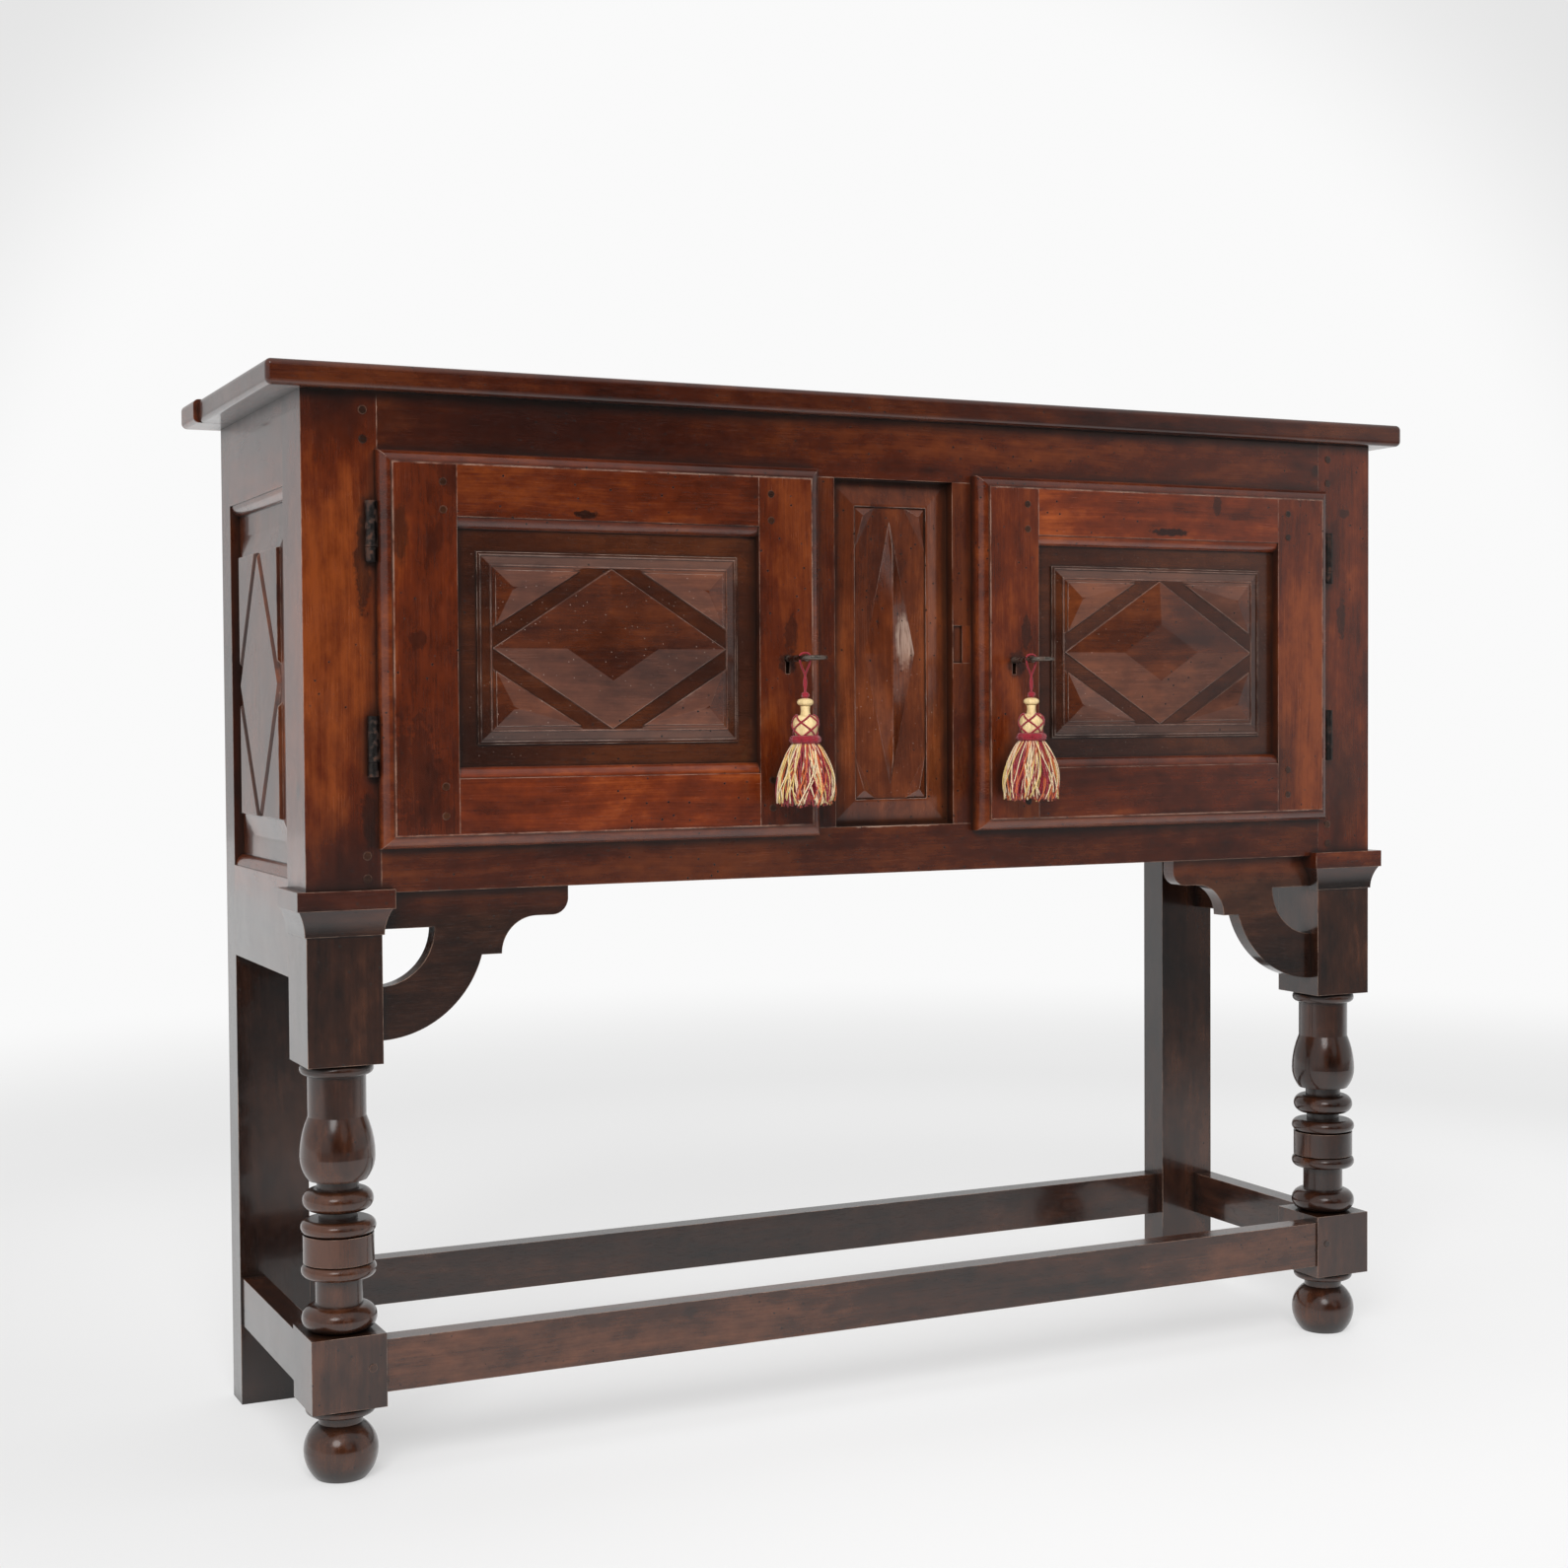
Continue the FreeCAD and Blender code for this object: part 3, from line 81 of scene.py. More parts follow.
# Node trees are written as nested calls: each returns a socket that feeds the next one
class Tree:
    def __init__(self, tree):
        self.tree = tree

    def node(self, kind, inputs=None, output=0, **settings):
        made = self.tree.nodes.new("ShaderNode" + kind)
        for name, value in settings.items():
            setattr(made, name, value)
        for key, value in (inputs or {}).items():
            self.feed(made.inputs[key], value)
        return made.outputs[output]

    def feed(self, socket, value):
        if isinstance(value, bpy.types.NodeSocket):
            self.tree.links.new(value, socket)
        elif value is not None:
            socket.default_value = value

    def math(self, operation, a, b=None, c=None, clamp=False):
        values = {i: v for i, v in enumerate((a, b, c)) if v is not None}
        return self.node("Math", values, operation=operation, use_clamp=clamp)

    def total(self, *parts):
        # each part is a pair: a socket and its weight
        whole = 0.0
        for socket, weight in parts:
            whole = self.math("MULTIPLY_ADD", socket, weight, whole)
        return whole

    def range(self, value, low, high, start=0.0, end=1.0):
        return self.node("MapRange", {"Value": value, "From Min": low, "From Max": high,
                                      "To Min": start, "To Max": end},
                         interpolation_type="SMOOTHSTEP")

    def mix(self, share, a, b, blend="MIX"):
        made = self.tree.nodes.new("ShaderNodeMix")
        made.data_type = "RGBA"
        made.blend_type = blend
        self.feed(made.inputs[0], share)
        self.feed(made.inputs[6], a)
        self.feed(made.inputs[7], b)
        return made.outputs[2]

    def vector(self, operation, a, b=None, output=0):
        values = {i: v for i, v in enumerate((a, b)) if v is not None}
        return self.node("VectorMath", values, output, operation=operation)

    def stretch(self, vector, factors):
        return self.vector("MULTIPLY", vector, factors)

    def noise(self, vector, scale, detail=3.0, rough=0.55, distort=0.0, output="Fac"):
        return self.node("TexNoise", {"Vector": vector, "Scale": scale, "Detail": detail,
                                      "Roughness": rough, "Distortion": distort}, output=output)

    def cells(self, vector, scale):
        return self.node("TexVoronoi", {"Vector": vector, "Scale": scale, "Randomness": 1.0},
                         output="Distance")

    def ramp(self, value, stops):
        made = self.tree.nodes.new("ShaderNodeValToRGB")
        elements = made.color_ramp.elements
        while len(elements) < len(stops):
            elements.new(0.5)
        for element, (at, colour) in zip(elements, stops):
            element.position = at
            element.color = (*colour, 1)
        self.feed(made.inputs[0], value)
        return made.outputs[0]

    def group(self, tree, inputs, outputs):
        made = self.tree.nodes.new("ShaderNodeGroup")
        made.node_tree = tree
        for key, value in inputs.items():
            self.feed(made.inputs[key], value)
        sockets = [made.outputs[name] for name in outputs]
        return sockets if len(sockets) > 1 else sockets[0]


socketKinds = {"vector": "NodeSocketVector", "value": "NodeSocketFloat"}


def makeGroup(name, inputs, outputs, build):
    tree = bpy.data.node_groups.new(name, "ShaderNodeTree")
    for key, kind in inputs.items():
        tree.interface.new_socket(key, in_out="INPUT", socket_type=socketKinds[kind])
    for key, kind in outputs.items():
        tree.interface.new_socket(key, in_out="OUTPUT", socket_type=socketKinds[kind])
    entry = tree.nodes.new("NodeGroupInput")
    leave = tree.nodes.new("NodeGroupOutput")
    result = build(Tree(tree), {key: entry.outputs[key] for key in inputs})
    for key, socket in result.items():
        tree.links.new(socket, leave.inputs[key])
    return tree


def newMaterial(name):
    material = bpy.data.materials.new(name)
    material.use_nodes = True
    return material, Tree(material.node_tree), material.node_tree.nodes["Principled BSDF"]


# Wood with its grain along X: soft broad figure, fine growth lines, fibres and dark pores.
# Each row says how fast that detail changes along the grain and across it
grain = {"wander": (1.6, 6.0, 6.0), "push": (0.0, 0.05, 0.05), "cloud": (3.2, 9.0, 9.0),
         "mottle": (30.0, 60.0, 60.0), "bands": (1.4, 130.0, 130.0), "fibre": (14.0, 620.0, 620.0),
         "pore": (70.0, 1500.0, 1500.0), "poreShows": (0.60, 0.72)}
figureShares = {"cloud": 0.52, "mottle": 0.24, "bands": 0.13, "fibre": 0.11}


def buildFigure(t, given):
    at = given["Place"]
    wander = t.noise(t.stretch(at, grain["wander"]), 1.0, 2.0, output="Color")
    centred = t.vector("SUBTRACT", wander, (0.5, 0.5, 0.5))
    pushed = t.vector("ADD", at, t.stretch(centred, grain["push"]))
    layers = {"cloud": t.noise(t.stretch(at, grain["cloud"]), 1.0, 3.0, 0.6),
              "mottle": t.noise(t.stretch(at, grain["mottle"]), 1.0, 4.0, 0.65),
              "bands": t.noise(t.stretch(pushed, grain["bands"]), 1.0, 3.0, 0.6),
              "fibre": t.noise(t.stretch(pushed, grain["fibre"]), 1.0, 3.0, 0.6)}
    pore = t.noise(t.stretch(at, grain["pore"]), 1.0, 2.0, 0.5)
    figure = t.total(*[(layers[key], share) for key, share in figureShares.items()])
    return {"Figure": figure, "Fibre": layers["fibre"], "Pores": t.range(pore, *grain["poreShows"])}


figureGroup = makeGroup("woodFigure", {"Place": "vector"},
                        {"Figure": "value", "Fibre": "value", "Pores": "value"}, buildFigure)


# Handling: worn arrises with a painted edge highlight, painted shade in corners and crevices from
# ambient occlusion, worm holes, pale specks, dents and scratches.
# Sizes are in metres, noise scales in waves a metre, pairs say where the effect starts and is full
wear = {"arrisRadius": 0.0013, "arrisBend": (0.02, 0.11), "arrisOpen": (0.60, 0.86),
        "arrisPatches": (0.36, 0.60), "patchScale": 30.0, "cornerReach": 0.026,
        "cornerShadeRange": (1.03, 0.55), "crowdScale": 5.5, "wormScale": 95.0, "wormHole": (0.12, 0.08),
        "wormCrowd": (0.45, 0.53), "speckScale": 150.0, "speckSpot": (0.10, 0.05),
        "speckCrowd": (0.54, 0.42), "dentScale": 24.0, "scratchScale": (900.0, 60.0, 210.0),
        "scratchShows": (0.68, 0.76)}
wearKinds = ("Worn", "CornerShade", "Worm", "Speck", "Dent", "Scratch")


def buildHandling(t, given):
    at = given["Place"]
    face = t.node("NewGeometry", output="Normal")
    rounded = t.node("Bevel", {"Radius": wear["arrisRadius"]}, samples=6)
    bend = t.math("SUBTRACT", 1.0, t.vector("DOT_PRODUCT", face, rounded, "Value"))
    openness = t.node("AmbientOcclusion", {"Distance": wear["cornerReach"]}, output="AO", samples=8)
    patchy = t.noise(at, wear["patchScale"], 4.0, 0.7)
    # pale arrises: partly real wear, partly a painted highlight along the edges
    arris = t.math("MULTIPLY", t.range(bend, *wear["arrisBend"]),
                   t.range(openness, *wear["arrisOpen"]))
    worn = t.math("MULTIPLY", arris, t.range(patchy, *wear["arrisPatches"]))
    # painted shade: darker where ambient occlusion finds corners and crevices between pieces
    cornerShade = t.range(t.total((openness, 1.0), (patchy, 0.25)), *wear["cornerShadeRange"])
    crowd = t.noise(at, wear["crowdScale"], 2.0)
    worm = t.math("MULTIPLY", t.range(t.cells(at, wear["wormScale"]), *wear["wormHole"]),
                  t.range(crowd, *wear["wormCrowd"]))
    speck = t.math("MULTIPLY", t.range(t.cells(at, wear["speckScale"]), *wear["speckSpot"]),
                   t.range(crowd, *wear["speckCrowd"]))
    scratch = t.noise(t.stretch(at, wear["scratchScale"]), 1.0, 2.0, 0.5, 1.5)
    return {"Worn": worn, "CornerShade": cornerShade, "Worm": worm, "Speck": speck,
            "Dent": t.noise(at, wear["dentScale"], 3.0, 0.5),
            "Scratch": t.range(scratch, *wear["scratchShows"])}


handlingGroup = makeGroup("handling", {"Place": "vector"}, {key: "value" for key in wearKinds},
                          buildHandling)


# A ragged patch round one place, such as a knot or a rubbed spot
raggedScale = 120.0


def buildPatch(t, given):
    away = t.vector("DIVIDE", t.vector("SUBTRACT", given["Place"], given["Centre"]), given["Reach"])
    ragged = t.total((t.noise(given["Place"], raggedScale, 3.0, 0.6), given["Ragged"]),
                     (t.vector("LENGTH", away, output="Value"), 1.0))
    centred = t.math("SUBTRACT", ragged, t.math("MULTIPLY", given["Ragged"], 0.5))
    return {"Mask": t.range(centred, 1.0, given["Core"])}


patchGroup = makeGroup("raggedPatch", {"Place": "vector", "Centre": "vector", "Reach": "vector",
                                       "Ragged": "value", "Core": "value"},
                       {"Mask": "value"}, buildPatch)


# What the wood's roughness and bump follow, each with its weight
roughFollows = {"Fibre": 0.08, "Dent": 0.12, "CornerShade": 0.22}
bumpFollows = {"Dent": 0.8, "Fibre": 0.10, "Pores": -0.10, "Scratch": -0.10, "Worm": -0.7}


def buildRelief(t, given):
    return {"Rough": t.total(*[(given[key], weight) for key, weight in roughFollows.items()]),
            "Height": t.total(*[(given[key], weight) for key, weight in bumpFollows.items()])}


reliefKinds = ("Fibre", "Pores", "Worm", "CornerShade", "Dent", "Scratch")
reliefGroup = makeGroup("woodRelief", {key: "value" for key in reliefKinds},
                        {"Rough": "value", "Height": "value"}, buildRelief)


# The share of the duller leg colour, by height in metres
legChange = (0.585, 0.545)


def buildLeg(t, given):
    return {"Leg": t.range(t.node("SeparateXYZ", {0: given["Place"]}, "Z"), *legChange)}


legGroup = makeGroup("legShare", {"Place": "vector"}, {"Leg": "value"}, buildLeg)


# Door panels: painted shade down in the recess, and a painted sheen on the facets that lean down or
# up
panelShade = {"recess": (-15.7, -14.9), "recessShare": 0.5, "leanDown": (-0.015, -0.05),
              "downSheen": 0.062, "leanUp": (0.07, 0.14), "upSheen": 0.07,
              "figure": (0.34, 0.6, 0.6, 1.3), "recessShade": (0.012, 0.0040, 0.0018),
              "facetSheen": (0.42, 0.27, 0.22)}


def buildPanelShade(t, given):
    facts = panelShade
    depth = t.node("SeparateXYZ", {0: given["Place"]}, "Y")
    low, high = (place(0, out, 0).y for out in facts["recess"])
    tilt = t.node("SeparateXYZ", {0: t.node("NewGeometry", output="True Normal")}, "Z")
    # painted sheen: facets that lean down or up are made lighter, standing in for the reflection of
    # floor and light above
    facetSheen = t.total((t.range(tilt, *facts["leanDown"]), facts["downSheen"]),
                   (t.range(tilt, *facts["leanUp"]), facts["upSheen"]))
    return {"Recess": t.range(depth, low, high, 0.0, facts["recessShare"]),
            "FacetSheen": t.math("MULTIPLY", facetSheen, t.range(given["Figure"], *facts["figure"]))}


panelShadeGroup = makeGroup("panelShade", {"Place": "vector", "Figure": "value"},
                            {"Recess": "value", "FacetSheen": "value"}, buildPanelShade)


# Wood: red-brown polish above, duller brown on the legs and stretchers
woods = {
    "frame_oak": {"dark": (0.026, 0.0042, 0.0012), "mid": (0.068, 0.0105, 0.0019),
                  "light": (0.150, 0.0310, 0.0055), "worn": (0.42, 0.27, 0.20)},
    "panel_oak": {"dark": (0.024, 0.0048, 0.0018), "mid": (0.060, 0.0125, 0.0032),
                  "light": (0.130, 0.0310, 0.0075), "worn": (0.48, 0.36, 0.30)},
    "inner_oak": {"dark": (0.050, 0.022, 0.011), "mid": (0.13, 0.064, 0.032),
                  "light": (0.24, 0.135, 0.072), "worn": (0.30, 0.19, 0.11)},
    "peg_oak": {"dark": (0.008, 0.0028, 0.0014), "mid": (0.026, 0.0075, 0.0026),
                "light": (0.060, 0.018, 0.005), "worn": (0.16, 0.08, 0.05)},
}
legTones = ((0.005, 0.0017, 0.0009), (0.022, 0.0066, 0.0028), (0.062, 0.0205, 0.0088))
grainTurns = {"X": (0, 0, 0), "Y": (0, 0, -math.pi / 2), "Z": (0, math.pi / 2, 0)}

# Kinds of marks: colour and strength; the shade kind is painted shade, a broad soft darkening where
# less light falls
patchKinds = {"knot": ((0.006, 0.0018, 0.0010), 0.88), "faint": ((0.012, 0.0030, 0.0016), 0.48),
              "stain": ((0.010, 0.0040, 0.0026), 0.66),
              "pale": ((0.42, 0.29, 0.22), 0.62),
              "rust": ((0.030, 0.0070, 0.0022), 0.70), "shade": ((0.012, 0.0022, 0.0010), 0.80)}

# Marks that the photograph shows: kind, centre and reach in the case's millimetres, raggedness,
# and the way the marked facet faces where only one facet has it
marks = {
    "left_door_hinge_stile": [("faint", (108, -20, 829), (10, 4, 12), 2.2, None),
                              ("faint", (103, -20, 700), (30, 6, 60), 1.8, None),
                              ("rust", (92, -20, 931), (9, 9, 34), 1.0, None)],
    "left_door_lock_stile": [("faint", (512, -20, 838), (9, 5, 24), 2.0, None),
                             ("stain", (507, -20, 806), (12, 5, 13), 1.0, None)],
    "left_door_top_rail": [("knot", (284, -20, 955), (14, 5, 5), 1.3, None)],
    "left_door_panel": [("knot", (317, -6, 857), (6, 8, 6), 1.0, None),
                        ("knot", (356, -4, 824), (15, 8, 6), 1.4, None),
                        ("knot", (366, -4, 814), (8, 8, 5), 1.2, None),
                        ("knot", (321, -4, 820), (4, 8, 4), 0.8, None),
                        ("stain", (330, -4, 838), (30, 8, 20), 1.5, None),
                        # painted sheen on the upper-left facet of the lower-right pyramid
                        ("pale", (398, -4, 768), (50, 14, 34), 0.5, (-0.10, 0, 0.06))],
    "right_door_panel": [("knot", (1001, -2, 824), (1.8, 8, 5), 0.2, None),
                         ("stain", (1010, -4, 887), (9, 8, 7), 1.4, None),
                         ("stain", (985, -4, 830), (34, 8, 26), 1.6, None)],
    "right_door_top_rail": [("knot", (990, -20, 957), (30, 5, 5), 1.6, None),
                            ("stain", (1055, -20, 990), (7, 5, 14), 1.3, None)],
    "right_door_lock_stile": [("stain", (799, -20, 842), (7, 5, 22), 1.6, None),
                              ("stain", (786, -20, 806), (14, 5, 18), 1.1, None)],
    "right_door_hinge_stile": [("shade", (1130, -20, 690), (60, 10, 100), 0.35, None)],
    "right_front_post": [("shade", (1252, 0, 660), (60, 10, 130), 0.35, None),
                         ("stain", (1254, 0, 989), (8, 4, 7), 1.5, None),
                         ("stain", (1249, 0, 863), (7, 4, 26), 1.8, None)],
    "left_front_post": [("shade", (30, 0, 1060), (70, 10, 70), 0.35, None),
                        ("shade", (40, 0, 600), (80, 10, 90), 0.35, None),
                        ("knot", (0, 27, 681), (4, 7, 12), 1.4, None),
                        ("stain", (60, 0, 905), (9, 4, 60), 1.6, None),
                        ("stain", (64, 0, 655), (10, 4, 30), 1.6, None)],
    # painted reflection on the centre panel's facet that faces right
    "centre_panel": [("pale", (664, 6, 833), (18, 12, 36), 0.6, (0.10, 0, 0))],
    "front_bottom_rail": [("pale", (650, -1, 632), (62, 4, 2.0), 1.1, None)],
    "front_stretcher": [("stain", (400, 2, 129), (10, 5, 8), 1.5, None)],
    "front_top_rail": [("stain", (1212, 0, 1037), (8, 4, 8), 1.5, None),
                       # painted shade along the rail under the top's overhang
                       ("shade", (230, 0, 1045), (560, 40, 70), 0.35, None)],
}


# How strongly each effect shows on the wood, and its gloss
woodLook = {"stops": (0.40, 0.505, 0.615), "pores": 0.22, "speck": 0.55, "cornerShade": 0.84, "worn": 0.66,
            "speckColour": (0.42, 0.33, 0.28), "cornerShadeColour": (0.007, 0.0035, 0.0022),
            "wormColour": (0.003, 0.002, 0.0015), "legRough": -0.04, "rough": 0.15, "coat": 0.5,
            "coatRough": 0.08, "bump": 0.5, "bumpDeep": 0.0010, "softEdge": 0.0009,
            "markCore": 0.62, "markFacing": (0.004, 0.012), "paleFibre": (0.34, 0.54)}


def markMask(t, at, facing, fibre, mark):
    kind, centre, reach, ragged, way = mark
    look = woodLook
    mask = t.group(patchGroup, {"Place": at, "Centre": tuple(place(*centre)),
                                "Reach": tuple(Vector(reach) * mm), "Ragged": ragged,
                                "Core": 0.0 if kind == "shade" else look["markCore"]}, ["Mask"])
    # a facing way keeps a mark to the facets that face it; the pale marks kept so are painted sheen
    if way:
        turned = t.vector("DOT_PRODUCT", facing, way, "Value")
        mask = t.math("MULTIPLY", mask, t.range(turned, *look["markFacing"]))
    if kind == "pale":
        mask = t.math("MULTIPLY", mask, t.range(fibre, *look["paleFibre"]))
    return mask


def woodMaterial(node, slot, axis, seed, tone, polish):
    wood, look = woods[slot], woodLook
    material, t, shader = newMaterial(node + "Wood")
    # each piece takes its figure from another part of the pattern
    offset = (seed * 0.731 % 3.1, seed * 0.417 % 2.3, seed * 0.593 % 1.9)
    at = t.node("TexCoord", output="Object")
    along = t.node("Mapping", {"Vector": at, "Location": offset, "Rotation": grainTurns[axis]})
    figure, fibre, pores = t.group(figureGroup, {"Place": along}, ("Figure", "Fibre", "Pores"))
    worn, cornerShade, worm, speck, dent, scratch = t.group(handlingGroup, {"Place": at}, wearKinds)
    relief = dict(zip(reliefKinds, (fibre, pores, worm, cornerShade, dent, scratch)))
    rough, height = t.group(reliefGroup, relief, ("Rough", "Height"))
    colour = t.ramp(figure, list(zip(look["stops"], (wood["dark"], wood["mid"], wood["light"]))))
    if slot == "frame_oak":
        lower = t.ramp(figure, list(zip(look["stops"], legTones)))
        leg = t.group(legGroup, {"Place": at}, ["Leg"])
        colour = t.mix(leg, colour, lower)
        rough = t.total((leg, look["legRough"]), (rough, 1.0))
    colour = t.mix(1.0, colour, (tone, tone, tone, 1), "MULTIPLY")
    colour = t.mix(t.math("MULTIPLY", pores, look["pores"]), colour, (*wood["dark"], 1))
    if slot == "panel_oak":
        colour = t.mix(t.math("MULTIPLY", speck, look["speck"]), colour, (*look["speckColour"], 1))
    if "door_panel" in node:
        recess, facetSheen = t.group(panelShadeGroup, {"Place": at, "Figure": figure},
                               ("Recess", "FacetSheen"))
        # painted shade down in the sunken ground of the panel
        colour = t.mix(recess, colour, (*panelShade["recessShade"], 1))
        # painted sheen on the facets that lean down or up
        colour = t.mix(facetSheen, colour, (*panelShade["facetSheen"], 1))
    facing = t.node("NewGeometry", output="True Normal")
    for mark in marks.get(node, ()):
        shade, strength = patchKinds[mark[0]]
        mask = markMask(t, at, facing, fibre, mark)
        colour = t.mix(t.math("MULTIPLY", mask, strength), colour, (*shade, 1))
    # painted shade in corners and crevices; the same mask also roughens the polish there
    colour = t.mix(t.math("MULTIPLY", cornerShade, look["cornerShade"]), colour, (*look["cornerShadeColour"], 1))
    # worn arrises painted lighter: real wear together with a painted edge highlight
    colour = t.mix(t.math("MULTIPLY", worn, look["worn"]), colour, (*wood["worn"], 1))
    colour = t.mix(worm, colour, (*look["wormColour"], 1))
    soft = t.node("Bevel", {"Radius": look["softEdge"]}, samples=6)
    t.feed(shader.inputs["Base Color"], colour)
    t.feed(shader.inputs["Roughness"], t.math("ADD", rough, look["rough"] / polish, clamp=True))
    t.feed(shader.inputs["Normal"], t.node("Bump", {
        "Strength": look["bump"], "Distance": look["bumpDeep"], "Height": height, "Normal": soft},
        "Normal"))
    shader.inputs["Coat Weight"].default_value = look["coat"] * polish
    shader.inputs["Coat Roughness"].default_value = look["coatRough"]
    return material


# Which way the grain runs, where it isn't the longest side, and pieces unlike the rest
grainAxes = {"left_door_panel": "X", "right_door_panel": "X", "left_bracket": "X",
             "right_bracket": "X", "left_collar": "X", "right_collar": "X"}
tones = {"left_front_post": 1.02, "left_door_hinge_stile": 1.2, "left_door_bottom_rail": 1.75,
         "left_door_top_rail": 1.0, "right_door_top_rail": 1.7, "right_door_lock_stile": 1.25,
         "right_door_hinge_stile": 1.15, "right_front_post": 1.3, "front_stretcher": 1.6,
         "centre_panel": 1.3, "front_bottom_rail": 0.62, "front_top_rail": 0.8,
         "right_door_bottom_rail": 1.1, "left_muntin": 0.7, "right_muntin": 0.65,
         "left_back_post": 0.55, "left_bracket": 0.7, "left_collar": 0.75, "top_front_plank": 0.5}


innerPolish = 0.55


def grainOf(name):
    low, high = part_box(name)
    spans = [high[i] - low[i] for i in range(3)]
    return grainAxes.get(name, "XYZ"[spans.index(max(spans))])


slots = {part["node"]: part["material_slot"] for part in frame["record"]["subparts"]}


def dress(name, material):
    solid = bpy.data.objects[name]
    solid.data.materials.clear()
    solid.data.materials.append(material)


def dressWood():
    for seed, (name, slot) in enumerate(sorted(slots.items())):
        if slot in woods:
            polish = innerPolish if slot == "inner_oak" else 1.0
            tone = tones.get(name, 1.0)
            dress(name, woodMaterial(name, slot, grainOf(name), seed, tone, polish))


dressWood()
print("wood dressed")


# Which body each node moves with
bodyOf = {node: body for body, nodes in frame["record"]["behaviour"]["bodies"].items()
          for node in nodes}
fullTurn = 2 * math.pi


def halfTurn(steps):
    return [math.pi * i / steps for i in range(steps + 1)]


def makePiece(name, built, materials, body):
    bmesh.ops.recalc_face_normals(built, faces=built.faces)
    mesh = bpy.data.meshes.new(name)
    built.to_mesh(mesh)
    built.free()
    for material in materials:
        mesh.materials.append(material)
    piece = bpy.data.objects.new(name, mesh)
    bpy.context.collection.objects.link(piece)
    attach(piece, body)
    return piece


# Carving over the plain facets of the door panels: crisp low walls round each lozenge and corner
# pyramid, and a double fillet round the field. Sizes are in the case's millimetres; "low", "top"
# and the fillets' last two numbers are heights in front of the posts.
doorCarving = {"centres": {"left_door_panel": (312, 820.5), "right_door_panel": (978, 820.5)},
               "half": (127, 81.5), "low": 15.0, "top": 19.9, "sunk": 0.5, "wall": 1.5,
               "wallSlope": 0.7, "flat": 0.39, "reach": 0.76, "cornerWall": 1.9, "cornerIn": 3.5,
               "wander": 0.35, "soft": 0.45, "sharpAngle": 0.12,
               "fillets": [(-0.6, 2.2, 14.7, 15.96), (9.6, 2.6, 11.6, 13.6)]}


class Carving:
    def __init__(self, middle, seed):
        self.middle = middle
        self.chance = random.Random(seed)
        self.mesh = bmesh.new()

    def at(self, across, up, out):
        # across and up are measured from the middle of the field, out towards the viewer
        return place(self.middle[0] + across, -out, self.middle[1] + up)

    def steps(self, rows, closed=False):
        made = [[self.mesh.verts.new(self.at(*point)) for point in row] for row in rows]
        count = len(rows[0])
        pairs = list(zip(made, made[1:])) + ([(made[-1], made[0])] if closed else [])
        for low, high in pairs:
            for i in range(count):
                k = (i + 1) % count
                self.mesh.faces.new((low[i], low[k], high[k], high[i]))
        if not closed:
            self.mesh.faces.new(made[0][::-1])
            self.mesh.faces.new(made[-1])

    def raised(self, corners, peak, levels):
        # levels: how far each ring is drawn in towards the peak, and how far it stands out
        rows = []
        for share, out in levels:
            wander = doorCarving["wander"] if share else 0.0
            rows.append([(x + (peak[0] - x) * share + self.chance.uniform(-wander, wander),
                          z + (peak[1] - z) * share + self.chance.uniform(-wander, wander), out)
                         for x, z in corners])
        self.steps(rows)

    def fillet(self, inset, wide, low, high):
        # a rounded bead that runs round the field
        halfX, halfY = doorCarving["half"]
        rows = []
        for a in halfTurn(6):
            out = low + (high - low) * math.sin(a)
            away = inset + wide / 2 * (1 + math.cos(a))
            x, z = halfX + away, halfY + away
            rows.append([(-x, -z, out), (x, -z, out), (x, z, out), (-x, z, out)])
        self.steps(rows, closed=True)

    def finish(self, name, node):
        sharp = [edge for edge in self.mesh.edges if len(edge.link_faces) == 2
                 and edge.calc_face_angle(0) > doorCarving["sharpAngle"]]
        bmesh.ops.bevel(self.mesh, geom=sharp, offset=doorCarving["soft"] * mm, segments=2,
                        profile=0.5, affect="EDGES")
        makePiece(name, self.mesh, bpy.data.objects[node].data.materials[:], bodyOf[node])


def carve(node, middle, seed):
    facts = doorCarving
    halfX, halfY = facts["half"]
    low, top = facts["low"], facts["top"]
    carving = Carving(middle, seed)
    inward = halfX * halfY / math.hypot(halfX, halfY)
    carving.raised([(halfX, 0), (0, halfY), (-halfX, 0), (0, -halfY)], (0, 0),
                   [(0.0, low - facts["sunk"]), (0.0, low),
                    (facts["wallSlope"] / inward, low + facts["wall"]),
                    (1 - facts["flat"], top), (0.94, top + 0.1)])
    carving.finish(node.replace("_panel", "_lozenge"), node)
    legX, legY = halfX * facts["reach"], halfY * facts["reach"]
    around = legX + legY + math.hypot(legX, legY)
    inset = facts["cornerIn"]
    for signX in (-1, 1):
        for signY in (-1, 1):
            x, y = halfX * signX, halfY * signY
            nearX, nearY = x - inset * signX, y - inset * signY
            farX, farY = x - (legX - inset * 0.6) * signX, y - (legY - inset * 0.6) * signY
            peak = (x - legX * signX * legY / around, y - legY * signY * legX / around)
            carving = Carving(middle, seed * 10 + 3 * signX + signY)
            carving.raised([(nearX, nearY), (farX, nearY), (nearX, farY)], peak,
                           [(0.0, low - facts["sunk"]), (0.0, low),
                            (0.03, low + facts["cornerWall"]), (0.94, top)])
            corner = ("upper" if signY > 0 else "lower") + ("Right" if signX > 0 else "Left")
            carving.finish(node.replace("_panel", "_") + corner + "Pyramid", node)
    carving = Carving(middle, seed)
    for fillet in facts["fillets"]:
        carving.fillet(*fillet)
    carving.finish(node.replace("_panel", "_fillets"), node)


for seed, (node, middle) in enumerate(doorCarving["centres"].items()):
    carve(node, middle, seed + 1)
print("panels carved")


